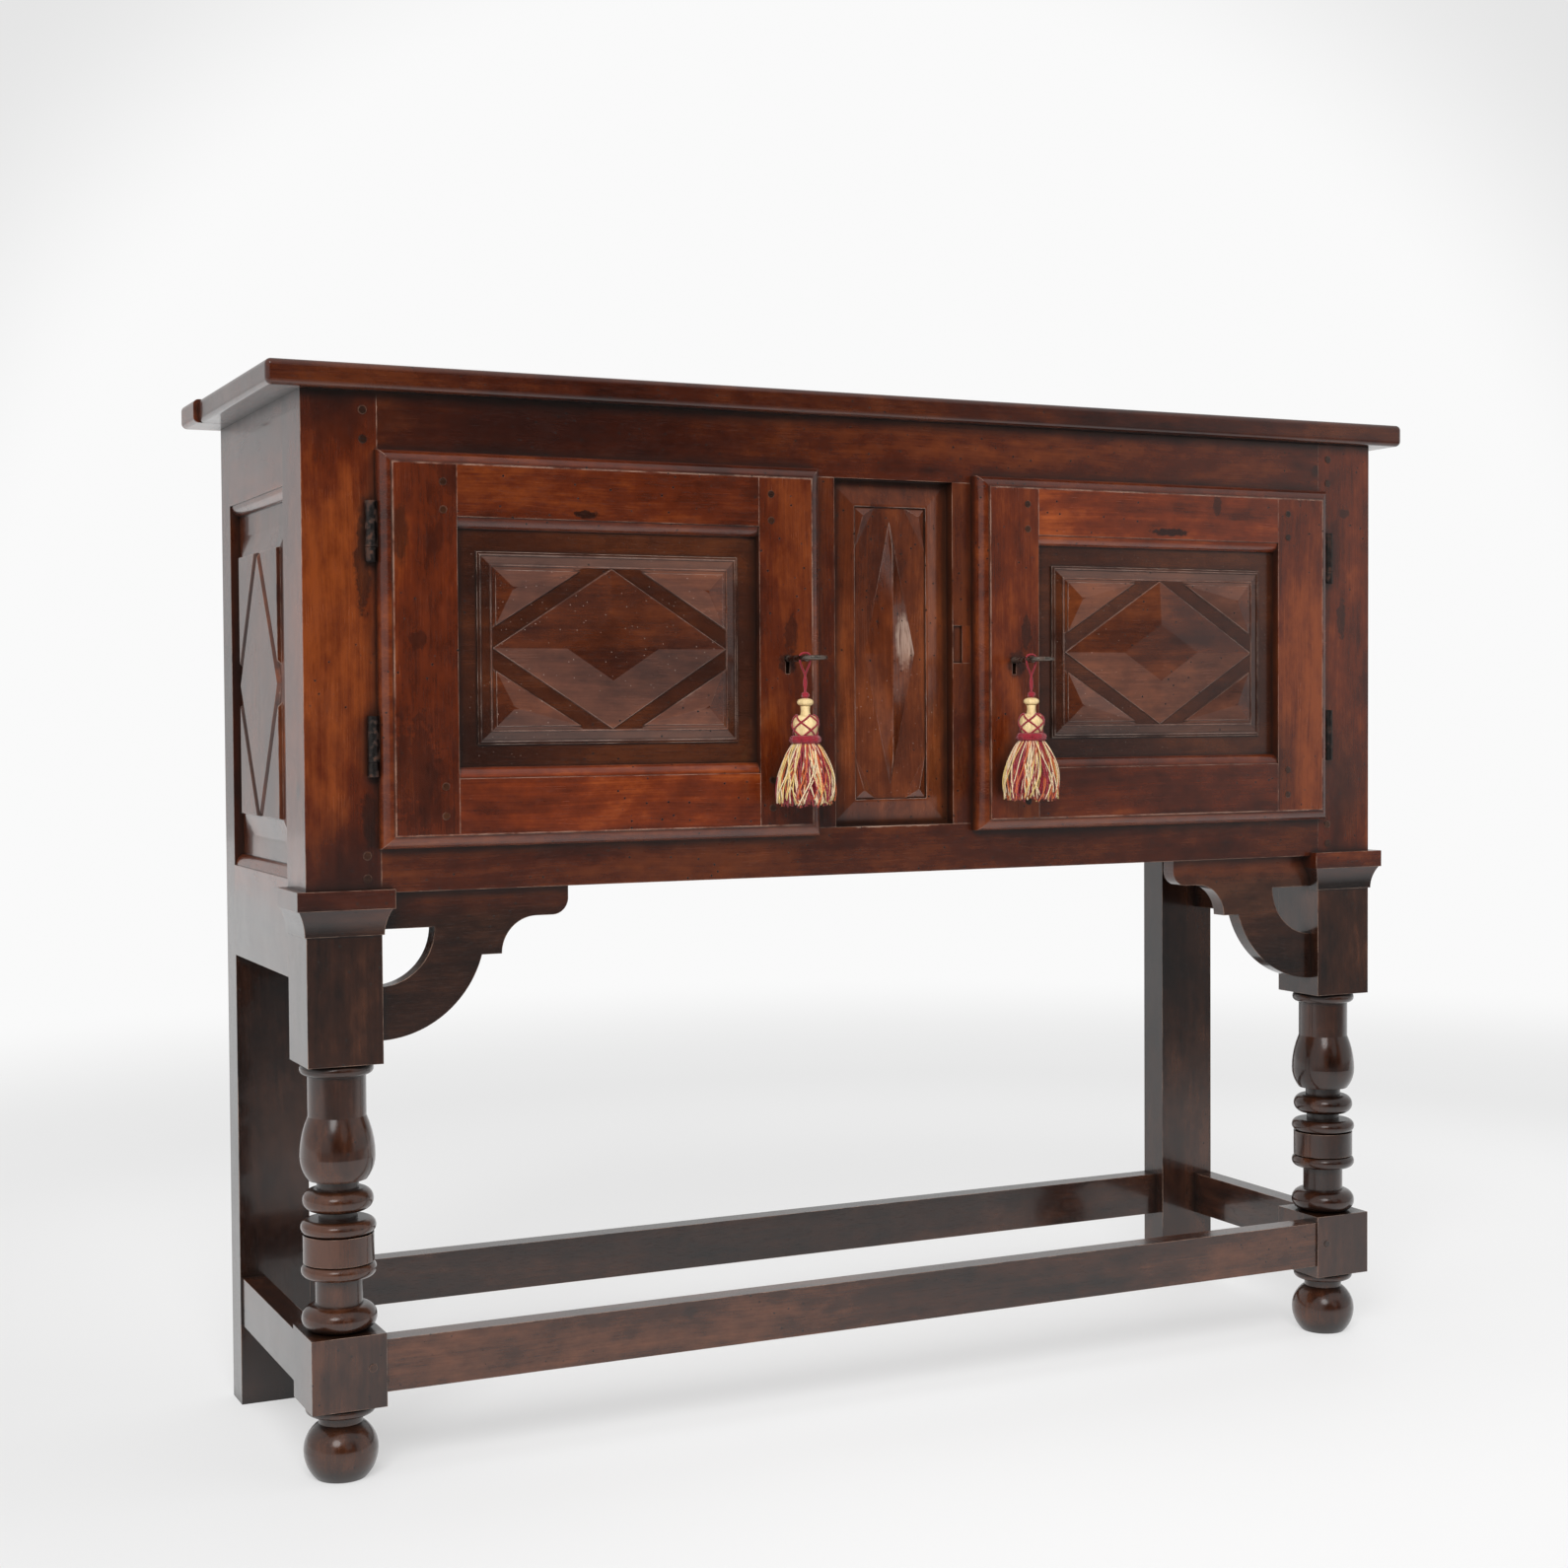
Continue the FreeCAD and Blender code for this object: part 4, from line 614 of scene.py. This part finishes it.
# Iron and steel: dull, dark, with rust in patches
metals = {
    "hinge_iron": {"base": (0.050, 0.045, 0.043), "rust": (0.070, 0.025, 0.012), "rough": 0.42},
    "lock_steel": {"base": (0.280, 0.270, 0.260), "rust": (0.120, 0.060, 0.035), "rough": 0.38},
    "key_iron": {"base": (0.170, 0.145, 0.125), "rust": (0.060, 0.028, 0.017), "rough": 0.26},
}
rust = {"scale": 120.0, "shows": (0.48, 0.66), "gritScale": 1400.0, "cover": 0.8, "dull": 0.3,
        "metalLoss": -0.75, "bump": 0.5, "bumpDeep": 0.0004, "softEdge": 0.0008}


def buildRust(t, given):
    at = given["Place"]
    return {"Patches": t.range(t.noise(at, rust["scale"], 5.0, 0.65), *rust["shows"]),
            "Grit": t.noise(at, rust["gritScale"], 3.0)}


rustGroup = makeGroup("rust", {"Place": "vector"}, {"Patches": "value", "Grit": "value"}, buildRust)


def metalMaterial(name, metal):
    material, t, shader = newMaterial(name)
    at = t.node("TexCoord", output="Object")
    patches, grit = t.group(rustGroup, {"Place": at}, ("Patches", "Grit"))
    cover = t.math("MULTIPLY", patches, rust["cover"])
    t.feed(shader.inputs["Base Color"], t.mix(cover, (*metal["base"], 1), (*metal["rust"], 1)))
    t.feed(shader.inputs["Metallic"], t.total((patches, rust["metalLoss"]), (1.0, 1.0)))
    t.feed(shader.inputs["Roughness"], t.total((patches, rust["dull"]), (1.0, metal["rough"])))
    soft = t.node("Bevel", {"Radius": rust["softEdge"]}, samples=4)
    t.feed(shader.inputs["Normal"], t.node("Bump", {
        "Strength": rust["bump"], "Distance": rust["bumpDeep"], "Height": grit, "Normal": soft},
        "Normal"))
    return material


def dressMetal():
    made = {slot: metalMaterial(slot, metal) for slot, metal in metals.items()}
    for name, slot in slots.items():
        if slot in made:
            dress(name, made[slot])


dressMetal()
print("metal dressed")


# Threads, cords and turned wood of the tassels
threadColours = {"cream": (0.74, 0.57, 0.36), "straw": (0.68, 0.47, 0.16),
                 "orange": (0.55, 0.115, 0.028), "crimson": (0.27, 0.010, 0.022)}
thread = {"twist": 2.2, "fluffScale": 900.0, "patchScale": 60.0, "dark": 0.45, "rough": 0.8,
          "sheen": 0.25, "bump": 0.7, "bumpDeep": 0.0003}
knobPaint = {"colour": (0.70, 0.53, 0.28), "streak": (0.50, 0.36, 0.17),
             "stain": (0.34, 0.10, 0.05), "streakScale": (260.0, 260.0, 60.0),
             "streakShows": (0.35, 0.7), "stainScale": 150.0, "stainShows": (0.55, 0.75),
             "stainCover": 0.4, "rough": 0.42, "bump": 0.3, "bumpDeep": 0.0003}


# Two plies twisted together; u runs round the thread and v along it, in thread widths
def buildThread(t, given):
    along = t.node("SeparateXYZ", {0: given["Way"]}, "Y")
    around = t.node("SeparateXYZ", {0: given["Way"]}, "X")
    turn = t.total((along, thread["twist"]), (around, 4 * math.pi))
    ply = t.math("ADD", t.math("MULTIPLY", t.math("SINE", turn), 0.5), 0.5)
    fluff = t.noise(given["Place"], thread["fluffScale"], 4.0, 0.7)
    patch = t.noise(given["Place"], thread["patchScale"], 2.0)
    return {"Shade": t.total((ply, 0.30), (fluff, 0.5), (patch, 0.65)),
            "Height": t.total((ply, 1.0), (fluff, 0.8))}


threadGroup = makeGroup("twistedThread", {"Place": "vector", "Way": "vector"},
                        {"Shade": "value", "Height": "value"}, buildThread)


def threadMaterial(name, colour):
    material, t, shader = newMaterial(name)
    shade, height = t.group(threadGroup, {"Place": t.node("TexCoord", output="Object"),
                                          "Way": t.node("TexCoord", output="UV")},
                            ("Shade", "Height"))
    dark = tuple(part * thread["dark"] for part in colour)
    t.feed(shader.inputs["Base Color"], t.mix(shade, (*dark, 1), (*colour, 1)))
    shader.inputs["Roughness"].default_value = thread["rough"]
    shader.inputs["Sheen Weight"].default_value = thread["sheen"]
    t.feed(shader.inputs["Normal"], t.node("Bump", {
        "Strength": thread["bump"], "Distance": thread["bumpDeep"], "Height": height}, "Normal"))
    return material


def turnedPaint(name, facts):
    material, t, shader = newMaterial(name)
    at = t.node("TexCoord", output="Object")
    streaks = t.noise(t.stretch(at, facts["streakScale"]), 1.0, 4.0, 0.6)
    stains = t.range(t.noise(at, facts["stainScale"], 3.0), *facts["stainShows"])
    base = t.mix(t.range(streaks, *facts["streakShows"]), (*facts["colour"], 1),
                 (*facts["streak"], 1))
    stained = t.mix(t.math("MULTIPLY", stains, facts["stainCover"]), base, (*facts["stain"], 1))
    t.feed(shader.inputs["Base Color"], stained)
    shader.inputs["Roughness"].default_value = facts["rough"]
    t.feed(shader.inputs["Normal"], t.node("Bump", {
        "Strength": facts["bump"], "Distance": facts["bumpDeep"], "Height": streaks}, "Normal"))
    return material


threads = {name: threadMaterial(name + "Thread", colour) for name, colour in threadColours.items()}
creamPaint = turnedPaint("creamPaint", knobPaint)


def aroundAxis(radius, turn, height):
    return Vector((radius * math.cos(turn), radius * math.sin(turn), height))


# A mesh that is filled tube by tube or ring by ring
class Build:
    def __init__(self):
        self.mesh = bmesh.new()
        self.uv = self.mesh.loops.layers.uv.new("UVMap")

    def rings(self, rows, paint=0):
        # rows of points, each row a ring; faces join each ring to the next
        made = [[self.mesh.verts.new(p) for p in row] for row in rows]
        count = len(rows[0])
        length = 0.0
        for here, there in zip(made, made[1:]):
            step = (there[0].co - here[0].co).length / mm
            for j in range(count):
                k = (j + 1) % count
                face = self.mesh.faces.new((here[j], here[k], there[k], there[j]))
                face.material_index = paint
                face.smooth = True
                spots = ((j, length), (j + 1, length), (j + 1, length + step), (j, length + step))
                for loop, (around, along) in zip(face.loops, spots):
                    loop[self.uv].uv = (around / count, along)
            length += step
        return made

    def caps(self, made, paint=0):
        for row in (made[0][::-1], made[-1]):
            face = self.mesh.faces.new(row)
            face.material_index = paint
            face.smooth = True

    def tube(self, path, radii, sides=6, paint=0):
        rows = []
        side = Vector((1, 0, 0))
        for i, point in enumerate(path):
            ahead = (path[min(i + 1, len(path) - 1)] - path[max(i - 1, 0)]).normalized()
            side = (side - ahead * side.dot(ahead)).normalized()
            over = ahead.cross(side)
            radius = radii[i] if isinstance(radii, list) else radii
            rows.append([point + (side * math.cos(a) + over * math.sin(a)) * radius
                         for a in (fullTurn * j / sides for j in range(sides))])
        self.caps(self.rings(rows, paint), paint)

    def lathe(self, centre, outline, sides=48, paint=0, ripple=None):
        rows = []
        for radius, height in outline:
            row = []
            for j in range(sides):
                turn = fullTurn * j / sides
                ripples = ripple(turn, height) if ripple else 0
                row.append(centre + aroundAxis(radius + ripples, turn, height))
            rows.append(row)
        self.caps(self.rings(rows, paint), paint)

    def finish(self, name, materials, side):
        return makePiece(name, self.mesh, materials, side + "_tassel")


def smooth(points, steps):
    # points on an even curve through the given ones
    fine = []
    for i in range(len(points) - 1):
        a, b = points[max(i - 1, 0)], points[i]
        c, d = points[i + 1], points[min(i + 2, len(points) - 1)]
        for j in range(steps):
            s = j / steps
            fine.append(0.5 * ((2 * b) + (c - a) * s + (2 * a - 5 * b + 4 * c - d) * s * s
                               + (3 * b - a - 3 * c + d) * s ** 3))
    fine.append(points[-1])
    return fine


# Tassel: heights down from the knob, radii, and how its threads are laid
tassel = {"knobOut": 8.6 * mm, "knobTall": 8 * mm, "neckOut": 5.0 * mm, "neckTall": 9 * mm,
          "ballOut": 13.2 * mm, "ballTall": 22 * mm, "ballFootOut": 9 * mm, "ruffOut": 16 * mm,
          "ruffTall": 8 * mm, "skirtTopOut": 13 * mm, "skirtOut": 31.5 * mm, "skirtTall": 68 * mm,
          "skirtTuck": 2.5 * mm, "strand": 0.68 * mm, "cord": 2.2 * mm, "cordLong": 105 * mm,
          "lattice": 1.0 * mm, "latticeStarts": 4, "latticeTurn": 2.2, "knotOut": 4.2 * mm,
          "knotTop": 6.5 * mm, "knotTall": 7.0 * mm, "ruffLoops": 620, "ruffWave": 0.28 * mm,
          "strands": 240, "innerStrands": 110, "drift": 0.36, "swing": (1.0, 5.6)}
# Rows of the skirt: how far out they lie, how long they are, and their shares of each colour
skirtRows = {"inner": {"depth": (0.62, 0.92), "long": (0.92, 1.0),
                       "colours": (0.08, 0.05, 0.37, 0.50)},
             "outer": {"depth": (0.93, 1.0), "long": (0.84, 0.97),
                       "colours": (0.40, 0.12, 0.20, 0.28)}}
# The solid heart under the threads: share of the skirt's radius and of its height
skirtHeart = ((0.50, 0.3), (0.66, 0.62), (0.70, 0.86))
phaseRange = 6.3


def tasselTop(side):
    low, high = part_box(side + "_tassel_head")
    return Vector(((low.x + high.x) / 2, (low.y + high.y) / 2, high.z))


def ballRadius(share):
    # radius of the ball from its neck (0) to the ruff (1)
    bulge = math.sin(math.pi * min(1, 0.12 + 0.80 * share))
    foot = tassel["neckOut"] + (tassel["ballFootOut"] - tassel["neckOut"]) * share
    return foot + (tassel["ballOut"] - foot) * bulge ** 0.8


def bead(out, tall, top, power, endOut, steps):
    # outline of a rounded bead, drawn in at both ends to a small flat
    return [(out * math.sin(a) ** power if 0.02 < a < 3.12 else endOut,
             top - tall / 2 * (1 - math.cos(a))) for a in halfTurn(steps)]


def tasselHead(side, top):
    build = Build()
    t = tassel
    neckTop = -t["knobTall"]
    ballTop = neckTop - t["neckTall"]
    knob = bead(t["knobOut"], t["knobTall"], 0.0, 0.7, t["neckOut"] * 0.6, 12)
    neck = [(t["neckOut"] * (1.05 - 0.10 * math.sin(a)), neckTop - t["neckTall"] * a / math.pi)
            for a in halfTurn(5)]
    ball = [(ballRadius(i / 14), ballTop - t["ballTall"] * i / 14) for i in range(1, 15)]
    build.lathe(top, knob + neck + ball)
    for way in (1, -1):
        for start in range(t["latticeStarts"]):
            path = []
            for i in range(21):
                share = i / 20
                turn = fullTurn * start / t["latticeStarts"] + way * share * t["latticeTurn"]
                out = ballRadius(share) + t["lattice"] * (0.5 if way > 0 else 0.9)
                path.append(top + aroundAxis(out, turn, ballTop - t["ballTall"] * share))
            build.tube(path, t["lattice"], 6, 1)
    knot = bead(t["knotOut"], t["knotTall"], t["knotTop"], 0.8, 1.2 * mm, 10)
    build.lathe(top, knot, 24, 1, lambda a, height: 0.4 * mm * math.sin(3 * a + height * 900))
    return build.finish(side + "TasselHead", [creamPaint, threads["crimson"]], side)


def tasselRuff(side, top, chance):
    build = Build()
    t = tassel
    high = -t["knobTall"] - t["neckTall"] - t["ballTall"]
    lumps = [chance.uniform(0, phaseRange) for _ in range(3)]

    def ripple(a, height):
        return t["ruffWave"] * (math.sin(7 * a + lumps[0]) + math.sin(13 * a + lumps[1])
                                + math.sin(29 * a + lumps[2]) * 0.6)

    over = 0.8 * mm
    outline = [(t["ruffOut"] - 4 * mm * (1 - math.sin(a)),
                high + over - (t["ruffTall"] + over) * (1 - math.cos(a)) / 2) for a in halfTurn(10)]
    build.lathe(top, outline, 96, 0, ripple)
    # short cut ends that stand off the ruff
    for _ in range(t["ruffLoops"]):
        turn = chance.uniform(0, fullTurn)
        b = chance.uniform(0.15, 2.95)
        out = t["ruffOut"] - 4.3 * mm + 4.2 * mm * math.sin(b)
        root = top + aroundAxis(out, turn, high - t["ruffTall"] * (1 - math.cos(b)) / 2)
        away = aroundAxis(1.0, turn, math.cos(b) * 0.9).normalized()
        lean = Vector([chance.uniform(-0.5, 0.5) for _ in range(3)])
        tip = root + (away + lean).normalized() * chance.uniform(0.9, 1.6) * mm
        build.tube([root, (root + tip) / 2, tip], [0.22 * mm, 0.18 * mm, 0.10 * mm], 3)
    return build.finish(side + "TasselRuff", [threads["crimson"]], side)


def tasselSkirt(side, top, chance):
    build = Build()
    t = tassel
    high = -t["knobTall"] - t["neckTall"] - t["ballTall"] - t["ruffTall"] + t["skirtTuck"]
    heart = [(t["skirtTopOut"] * 0.9, high)]
    heart += [(t["skirtOut"] * out, high - t["skirtTall"] * down) for out, down in skirtHeart]
    build.lathe(top, heart, 32, 3)
    for number in range(t["strands"]):
        row = skirtRows["inner" if number < t["innerStrands"] else "outer"]
        depth = chance.uniform(*row["depth"])
        start = chance.uniform(0, fullTurn)
        drift = chance.gauss(0, t["drift"])
        phase = chance.uniform(0, phaseRange)
        otherPhase = chance.uniform(0, phaseRange)
        swing = chance.uniform(*t["swing"]) * mm
        length = t["skirtTall"] * chance.uniform(*row["long"])
        points = []
        for i in range(9):
            # the strand leaves the ruff, swells out into the bell and wavers towards its end
            share = i / 8
            bell = (t["skirtTopOut"]
                    + (t["skirtOut"] - t["skirtTopOut"]) * math.sin(share * 1.95) ** 0.8)
            out = bell * (0.955 - 0.04 * math.sin(phase)) - 1.2 * mm * (1 - share)
            out *= depth if share > 0 else 1
            out += swing * 0.25 * math.sin(6.5 * share + otherPhase) * share
            turn = start + drift * share
            turn += swing * math.sin(5.6 * share + phase) * share / max(out, 0.005)
            points.append(top + aroundAxis(out, turn, high - length * share))
        pick = chance.choices(range(4), row["colours"])[0]
        build.tube(smooth(points, 2), t["strand"] * chance.uniform(0.85, 1.15), 5, pick)
    return build.finish(side + "TasselSkirt", list(threads.values()), side)


# The cord leaves the knot, goes over the key's shank and comes back, its two runs twisted:
# the points of its smooth line, in millimetres from the middle of the knob's top
cordRoute = [(0.9, 0.0, 0.0), (1.3, 1.0, 6.0), (-0.6, 1.3, 13.0), (-1.3, -0.6, 20.0),
             (0.4, -1.3, 27.0), (5.6, -0.4, 36.0), (6.2, 0.0, 46.8), (-6.2, 0.0, 46.8),
             (-5.6, 0.4, 36.0), (-0.4, 1.3, 27.0), (1.3, 0.6, 20.0), (0.6, -1.3, 13.0),
             (-1.3, -1.0, 6.0), (-0.9, 0.0, 0.0)]


def tasselCord(side, top):
    points = [top + Vector(point) * mm for point in cordRoute]
    data = bpy.data.curves.new(side + "TasselCord", "CURVE")
    data.dimensions = "3D"
    spline = data.splines.new("NURBS")
    spline.points.add(len(points) - 1)
    for spot, point in zip(spline.points, points):
        spot.co = (*point, 1)
    spline.order_u = 3
    spline.use_endpoint_u = True
    spline.resolution_u = 8
    data.bevel_depth = tassel["cord"] / 2
    data.bevel_resolution = 3
    data.use_fill_caps = True
    cord = bpy.data.objects.new(side + "TasselCord", data)
    bpy.context.collection.objects.link(cord)
    data.materials.append(threads["crimson"])
    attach(cord, side + "_tassel")
    return cord, points[0]


def makeTassel(side, seed):
    chance = random.Random(seed)
    top = tasselTop(side)
    head = tasselHead(side, top)
    tasselRuff(side, top, chance)
    skirt = tasselSkirt(side, top, chance)
    cord, start = tasselCord(side, top)
    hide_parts(side + "_tassel_head")
    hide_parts(side + "_tassel_skirt")
    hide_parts(side + "_tassel_cord")


makeTassel("left", 11)
makeTassel("right", 23)
print("tassels made")


# Floor and background: white, a little darker towards the picture's corners; the floor fades
# into it and keeps the shadow
studio = {"floor": 0.84, "floorHalf": 12.0, "floorRough": 0.6, "mottleScale": 3.0,
          "mottleLift": 1.02, "white": 0.955, "nearShare": 0.55, "fade": (1.0, 2.8),
          "pool": (0.5, 0.4, 0.0), "poolEdge": (0.9, 1.7), "poolShade": 0.13, "poolEnds": (3.4, 1.9),
          "side": (-0.95, 0.15, 0.0), "leftShadowEdge": (1.2, 0.1), "leftShadowLoss": 0.10,
          "front": (-0.75, -1.5), "frontLoss": 0.72, "cornerEdge": (0.33, 0.45),
          "cornerLoss": 0.17}
# Light from round about: a dim room in front, with a softbox and a lamp that the polish mirrors
room = {"skyLight": 0.60, "mirrorLight": 0.61, "dimLoss": 0.975, "ahead": (0.745, 0.905),
        "under": (0.66, 0.36), "softbox": (0.16, -0.92, 0.36), "softboxEdge": (0.972, 0.993),
        "softboxLight": 0.8, "lamp": (-0.42, -0.72, 0.58), "lampEdge": (0.970, 0.990),
        "lampLight": 6.0}


def rayKind(t, name):
    return t.node("LightPath", output="Is " + name + " Ray")


def seenRays(t):
    # camera, mirror and see-through rays meet the white background; lighting rays don't
    direct = t.math("MAXIMUM", rayKind(t, "Camera"), rayKind(t, "Glossy"))
    return t.math("MAXIMUM", direct, rayKind(t, "Transmission"))


def farFrom(t, at, point):
    return t.vector("LENGTH", t.vector("SUBTRACT", at, point), output="Value")


def floorMaterial():
    material, t, shader = newMaterial("floorPaint")
    nodes = material.node_tree.nodes
    facts = studio
    low, high = facts["floor"], facts["floor"] * facts["mottleLift"]
    at = t.node("TexCoord", output="Object")
    t.feed(shader.inputs["Base Color"], t.mix(t.noise(at, facts["mottleScale"], 3.0),
                                              (low, low, low, 1), (high, high, high, 1)))
    shader.inputs["Roughness"].default_value = facts["floorRough"]
    away = t.vector("LENGTH", at, output="Value")
    fade = t.range(away, *facts["fade"], facts["nearShare"], 1.0)
    # painted shade in the floor's glow: a darker ring round the object that fades back to white far
    # off, and a painted shadow to the object's left
    pool = farFrom(t, at, facts["pool"])
    floorShade = t.total((t.range(pool, *facts["poolEdge"], 0.0, facts["poolShade"]), 1.0),
                   (t.range(farFrom(t, at, facts["side"]), *facts["leftShadowEdge"]), facts["leftShadowLoss"]))
    floorShade = t.math("MULTIPLY", floorShade, t.range(pool, *facts["poolEnds"]))
    white = t.math("SUBTRACT", facts["white"], floorShade)
    # what the polish mirrors of the floor in front is darker
    front = t.range(t.node("SeparateXYZ", {0: at}, "Y"), *facts["front"])
    shut = t.math("MULTIPLY", t.math("MULTIPLY", rayKind(t, "Glossy"), front), facts["frontLoss"])
    glow = nodes.new("ShaderNodeEmission")
    both = nodes.new("ShaderNodeMixShader")
    t.feed(glow.inputs["Color"], t.math("MULTIPLY", white, t.math("SUBTRACT", 1.0, shut)))
    t.feed(both.inputs[0], t.math("MULTIPLY", t.math("MAXIMUM", fade, shut), seenRays(t)))
    t.feed(both.inputs[1], shader.outputs[0])
    t.feed(both.inputs[2], glow.outputs[0])
    t.feed(nodes["Material Output"].inputs["Surface"], both.outputs[0])
    return material


def makeFloor():
    mesh = bpy.data.meshes.new("floor")
    half = studio["floorHalf"]
    mesh.from_pydata([(-half, -half, 0), (half, -half, 0), (half, half, 0), (-half, half, 0)], [],
                     [(0, 1, 2, 3)])
    floor = bpy.data.objects.new("floor", mesh)
    bpy.context.collection.objects.link(floor)
    floor.data.materials.append(floorMaterial())


def patchOfLight(t, way, name):
    towards = tuple(Vector(room[name]).normalized())
    near = t.vector("DOT_PRODUCT", way, towards, "Value")
    return t.range(near, *room[name + "Edge"], 0.0, room[name + "Light"])


def backWhite(t, way):
    # the white behind the object, darker towards the corners of the photograph
    yaw, pitch = cameraFacts["yaw"], cameraFacts["pitch"]
    flat = math.cos(pitch)
    axis = (math.sin(yaw) * flat, math.cos(yaw) * flat, -math.sin(pitch))
    angle = t.math("ARCCOSINE", t.vector("DOT_PRODUCT", way, axis, "Value"))
    return t.range(angle, *studio["cornerEdge"], studio["white"],
                   studio["white"] - studio["cornerLoss"])


def makeWorld():
    world = bpy.data.worlds.new("studio")
    bpy.context.scene.world = world
    world.use_nodes = True
    t = Tree(world.node_tree)
    way = t.node("TexCoord", output="Generated")
    x, y, z = (t.node("SeparateXYZ", {0: way}, name) for name in "XYZ")
    level = t.math("SQRT", t.total((t.math("POWER", x, 2.0), 1.0), (t.math("POWER", y, 2.0), 1.0)))
    ahead = t.math("DIVIDE", t.math("MULTIPLY", y, -1.0), level)
    dim = t.math("MULTIPLY", t.range(ahead, *room["ahead"]), t.range(z, *room["under"]))
    around = t.total((dim, -room["dimLoss"]), (1.0, 1.0))
    around = t.math("MAXIMUM", around, patchOfLight(t, way, "softbox"))
    lamp = t.math("MULTIPLY", rayKind(t, "Glossy"), patchOfLight(t, way, "lamp"))
    around = t.math("ADD", around, lamp)
    direct = t.math("MAXIMUM", rayKind(t, "Camera"), rayKind(t, "Transmission"))
    light = t.total((rayKind(t, "Glossy"), room["mirrorLight"] - room["skyLight"]),
                    (1.0, room["skyLight"]))
    other = t.math("MULTIPLY", t.math("SUBTRACT", 1.0, direct), t.math("MULTIPLY", light, around))
    shown = t.math("MULTIPLY_ADD", direct, backWhite(t, way), other)
    t.feed(world.node_tree.nodes["Background"].inputs["Color"], shown)


lamps = {"keyLamp": {"at": (-1.9, -3.3, 2.9), "towards": (0, 0, 0.6), "size": (2.4, 2.0),
                     "power": 200},
         "topLamp": {"at": (0.3, 0.2, 3.8), "towards": (0, 0, 0.5), "size": (2.8, 2.0),
                     "power": 20}}


def makeLamp(name, facts):
    data = bpy.data.lights.new(name, "AREA")
    data.shape = "RECTANGLE"
    data.size, data.size_y = facts["size"]
    data.energy = facts["power"]
    lamp = bpy.data.objects.new(name, data)
    lamp.location = facts["at"]
    back = Vector(facts["at"]) - Vector(facts["towards"])
    lamp.rotation_euler = back.to_track_quat("Z", "Y").to_euler()
    lamp.visible_glossy = False
    bpy.context.collection.objects.link(lamp)


makeFloor()
makeWorld()
for name, facts in lamps.items():
    makeLamp(name, facts)
bpy.context.scene.view_settings.view_transform = "Standard"
print("studio lit")
